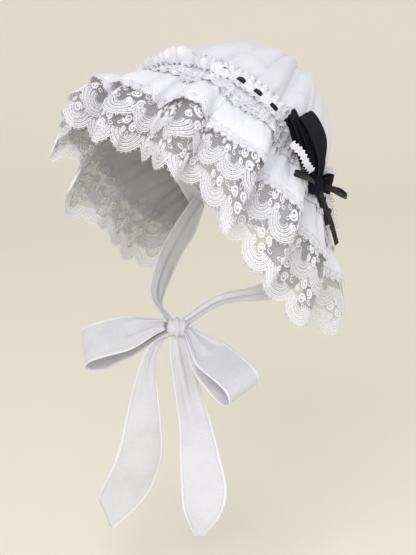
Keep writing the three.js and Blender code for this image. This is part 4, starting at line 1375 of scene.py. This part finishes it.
ties = {
    "knot": {"middle": (10, -50, -121), "size": (12, 10, 10), "pole": (0.8, 0.6, -0.1)},
    "cut": 47.0,
    "hem": 3.0,
    "loops": [
        ("chinLoopRight", "chin_loop_right", dict(
            knot=(3, -52, -119), tip=(-96, -81, -165), side=(-0.6, 0.43, 0.67), wide=0.55, late=2.2,
            face=(0, -1, 0.3),
            width=43, neck=12, puff=32, clear=6.3, sag=(0, 0, 3))),
        ("chinLoopLeft", "chin_loop_left", dict(
            knot=(18, -50, -118), tip=(106, -54, -164), side=(0.08, 0.95, 0.32), wide=0.5, late=1.8,
            face=(0, -1, 0.3),
            width=43, neck=12, puff=30, clear=6.3, sag=(0, 0, -4))),
    ],
    "straps": [
        ("tieLeft", "tie_left", [
            dict(at=(84.2, 80, -30), side=(0.1, 0.76, -0.64), width=24),
            dict(at=(84, 58, -54), side=(0.1, 0.8, -0.6), width=36),
            dict(at=(74, 20, -82), side=(0.1, 0.8, -0.6), width=34),
            dict(at=(42, -20, -91), side=(-0.1, 0.7, -0.7), width=20),
            dict(at=(16.3, -45.4, -113.6), side=(0.1, 0.6, -0.8), width=12)]),
        ("tieRight", "tie_right", [
            dict(at=(-84.2, 80, -30), side=(-0.1, 0.76, -0.64), width=24),
            dict(at=(-84, 58, -54), side=(-0.1, 0.8, -0.6), width=36),
            dict(at=(-74, 20, -82), side=(-0.1, 0.8, -0.6), width=34),
            dict(at=(-47, -23, -108), side=(0.1, 0.7, -0.7), width=20),
            dict(at=(-0.6, -50, -115.7), side=(-0.1, 0.6, -0.8), width=12)]),
    ],
    "tails": [
        ("chinTailRight", "chin_tail_right", [
            dict(at=(0, -53, -131), side=(0.8, 0.6, 0.3), width=9),
            dict(at=(-9, -61, -139), side=(0.8, 0.6, 0.3), width=13, cup=1),
            dict(at=(-14, -68, -157), side=(0.8, 0.6, 0), width=15, cup=2),
            dict(at=(-18, -70, -188), side=(0.8, 0.6, 0), width=26, cup=3),
            dict(at=(-18, -74, -227), side=(0.8, 0.6, 0), width=39, cup=2),
            dict(at=(-22, -74, -259), side=(0.74, 0.63, -0.19), width=46, cup=1),
            dict(at=(-33, -80, -295), side=(0.74, 0.57, -0.35), width=47, cup=1),
            dict(at=(-59, -92, -336), side=(0.47, 0.08, -0.88), width=36)]),
        ("chinTailLeft", "chin_tail_left", [
            dict(at=(14.6, -56.6, -128.2), side=(0.8, 0.6, 0), width=16),
            dict(at=(19, -55, -154), side=(0.8, 0.6, 0), width=23, cup=2),
            dict(at=(28, -55, -182), side=(0.8, 0.6, 0), width=28, cup=4),
            dict(at=(41, -57, -215), side=(0.8, 0.6, 0), width=34, cup=4),
            dict(at=(53, -62, -248), side=(0.8, 0.6, 0), width=42, cup=3),
            dict(at=(63, -67, -276), side=(0.8, 0.6, 0), width=47, cup=2),
            dict(at=(68, -74, -299), side=(0.8, 0.6, 0), width=39, cup=1),
            dict(at=(68, -79, -325), side=(0.8, 0.6, 0), width=8)]),
    ],
    "cloth": (0.67, 0.665, 0.695),
    "clothShade": (0.58, 0.575, 0.61),
    "hemCloth": (0.79, 0.785, 0.81),
}


def addHem(made, cut, hem, light):  # double cloth along both edges: whiter, raised, with a seam line
    tree = made.node_tree
    skin = tree.nodes["Principled BSDF"]
    side = addNode(tree, "ShaderNodeSeparateXYZ", {0: cutOf(tree)}).outputs[1]
    away = sums(tree, "ABSOLUTE", sums(tree, "SUBTRACT", side, stripMargin + cut / 2000))
    seam = (cut / 2 - hem) / 1000
    double = between(tree, away, seam - 0.0002, seam + 0.0004)
    groove = sums(tree, "COMPARE", away, seam + 0.0005, 0.0003)
    plain = skin.inputs["Base Color"].links[0].from_socket
    bent = skin.inputs["Normal"].links[0].from_socket
    tree.links.new(blendColour(tree, double, plain, light), skin.inputs["Base Color"])
    height = sums(tree, "MULTIPLY_ADD", groove, -0.5, double)
    tree.links.new(bumped(tree, 0.7, 0.0005, height, bent), skin.inputs["Normal"])


thread = cordFinish("whiteThread", (0.86, 0.86, 0.88), (0.74, 0.74, 0.79), 0.0006)
stitchTree = stitchTreeOf()
blackCloth = clothFinish("blackCloth", sideBow["cloth"], sideBow["clothShade"], thread=0.0006, weave=0.7,
                         crumple=0.0005, rough=(0.7, 0.9), sheen=0.0)
setSkin(blackCloth.node_tree.nodes["Principled BSDF"], {"Specular IOR Level": 0.1})
tieCloth = clothFinish("tieCloth", ties["cloth"], ties["clothShade"], thread=0.0004, weave=0.6,
                       crumple=0.0011)
addHem(tieCloth, ties["cut"], ties["hem"], ties["hemCloth"])
setSkin(tieCloth.node_tree.nodes["Principled BSDF"], {
    "Subsurface Weight": 0.3, "Subsurface Radius": (1.0, 1.0, 1.0), "Subsurface Scale": 0.002})


def bowLace(name, node, at):  # narrow crochet: a thin ground under a row of small fans
    along, side = np.linspace(0, 1, 90)[:, None], np.linspace(-1.15, 1.15, 14)[None, :]
    u, v = np.broadcast_arrays(along, side)
    points = at(u, v)
    length = lengthOf(points[:, 7])
    width = float(np.linalg.norm(points[45, -1] - points[45, 0]))
    flat = np.stack([cutMargin + u * length / 1000, stripMargin + (v + 1.15) / 2.3 * width / 1000], -1)
    points = points + 0.5 * (np.sin(2 * math.pi * u * length / 5.0) * v**2)[..., None]
    inner = slice(3, 11)
    finish = crochetFinish(name + "Ground", ladder["thread"], lace["threadShade"], 0.0019)
    ground = wear(netPiece(name, points[:, inner], flat[:, inner], finish, 0.25), [node])
    guide = storeVectors(netPiece(name + "Guide", points, flat, None), "outward", netNormals(points))
    small = width / 23
    count = int(length / (12.5 * small))
    pitch = length / count / 1000
    fan = runTree(name + "Fan", fanTree(), emptyHost, {
        "Width": pitch / small, "Cord": 0.0004 / small, "Finish": embroidery})
    fan.data.transform(Matrix.Diagonal((small, small, small, 1.0)))
    for half, low in (("Left", 0.0005), ("Right", width / 1000 - 0.0005)):
        start = (cutMargin + pitch / 2, stripMargin + low)
        row = layRow(name + half, fan, guide, count, pitch, start, 0.0005)
        wear(row, [])
        fan.data.transform(Matrix.Rotation(math.pi, 4, "Z"))
    takeOut(guide, fan)


def sideBowPieces():
    knot = sideBow["knot"]
    wrappedKnot("sideKnot", "side_bow_knot", knot["middle"], knot["size"], knot["pole"], blackCloth,
                4, 3.0)
    for number, (name, node, sizes, full, pleats, thick) in enumerate(sideBow["loops"]):
        at, begin = loopLine(sizes)
        wide = sizes["width"] > 10
        finish, slot = (blackCloth, "black_cloth") if wide else (satin, "black_ribbon")
        clothStrip(name, node, at, (begin, 1 - begin), full, pleats, finish, thick, 40 + number,
                   (72, 18 if wide else 6), crease=0.6 if wide else 0.1)
    for number, (name, node, rows) in enumerate(sideBow["tails"]):
        clothStrip(name, node, ribbonLine(rows), (0, 1), 6, 1.0, satin, 0.4, 50 + number,
                   (40, 6), crease=0.3)
    for name, node, rows in sideBow["laces"]:
        bowLace(name, node, ribbonLine(rows))
    print("bonnet: side bow")


def chinBowPieces():
    knot = ties["knot"]
    wrappedKnot("chinKnot", "chin_knot", knot["middle"], knot["size"], knot["pole"], tieCloth,
                9, 3.0, 0.11)
    for number, (name, node, sizes) in enumerate(ties["loops"]):
        at, begin = loopLine(sizes)
        clothStrip(name, node, at, (begin, 1 - begin), ties["cut"], 2.3, tieCloth, 0.45,
                   70 + number, (110, 34), ties["hem"], 1.0)
    for kind, pleats, seed, crease, smoothFrom in (("straps", 2.2, 80, 0.7, 2.0),
                                                   ("tails", 2.0, 90, 0.9, 0.25)):
        for number, (name, node, rows) in enumerate(ties[kind]):
            clothStrip(name, node, ribbonLine(rows), (0, 1), ties["cut"], pleats, tieCloth,
                       0.45,
                       seed + number, (110, 34), ties["hem"], crease, smoothFrom)
    print("bonnet: ties")


sideBowPieces()
chinBowPieces()
takeOut(emptyHost, scallopUnit, sprayUnit)
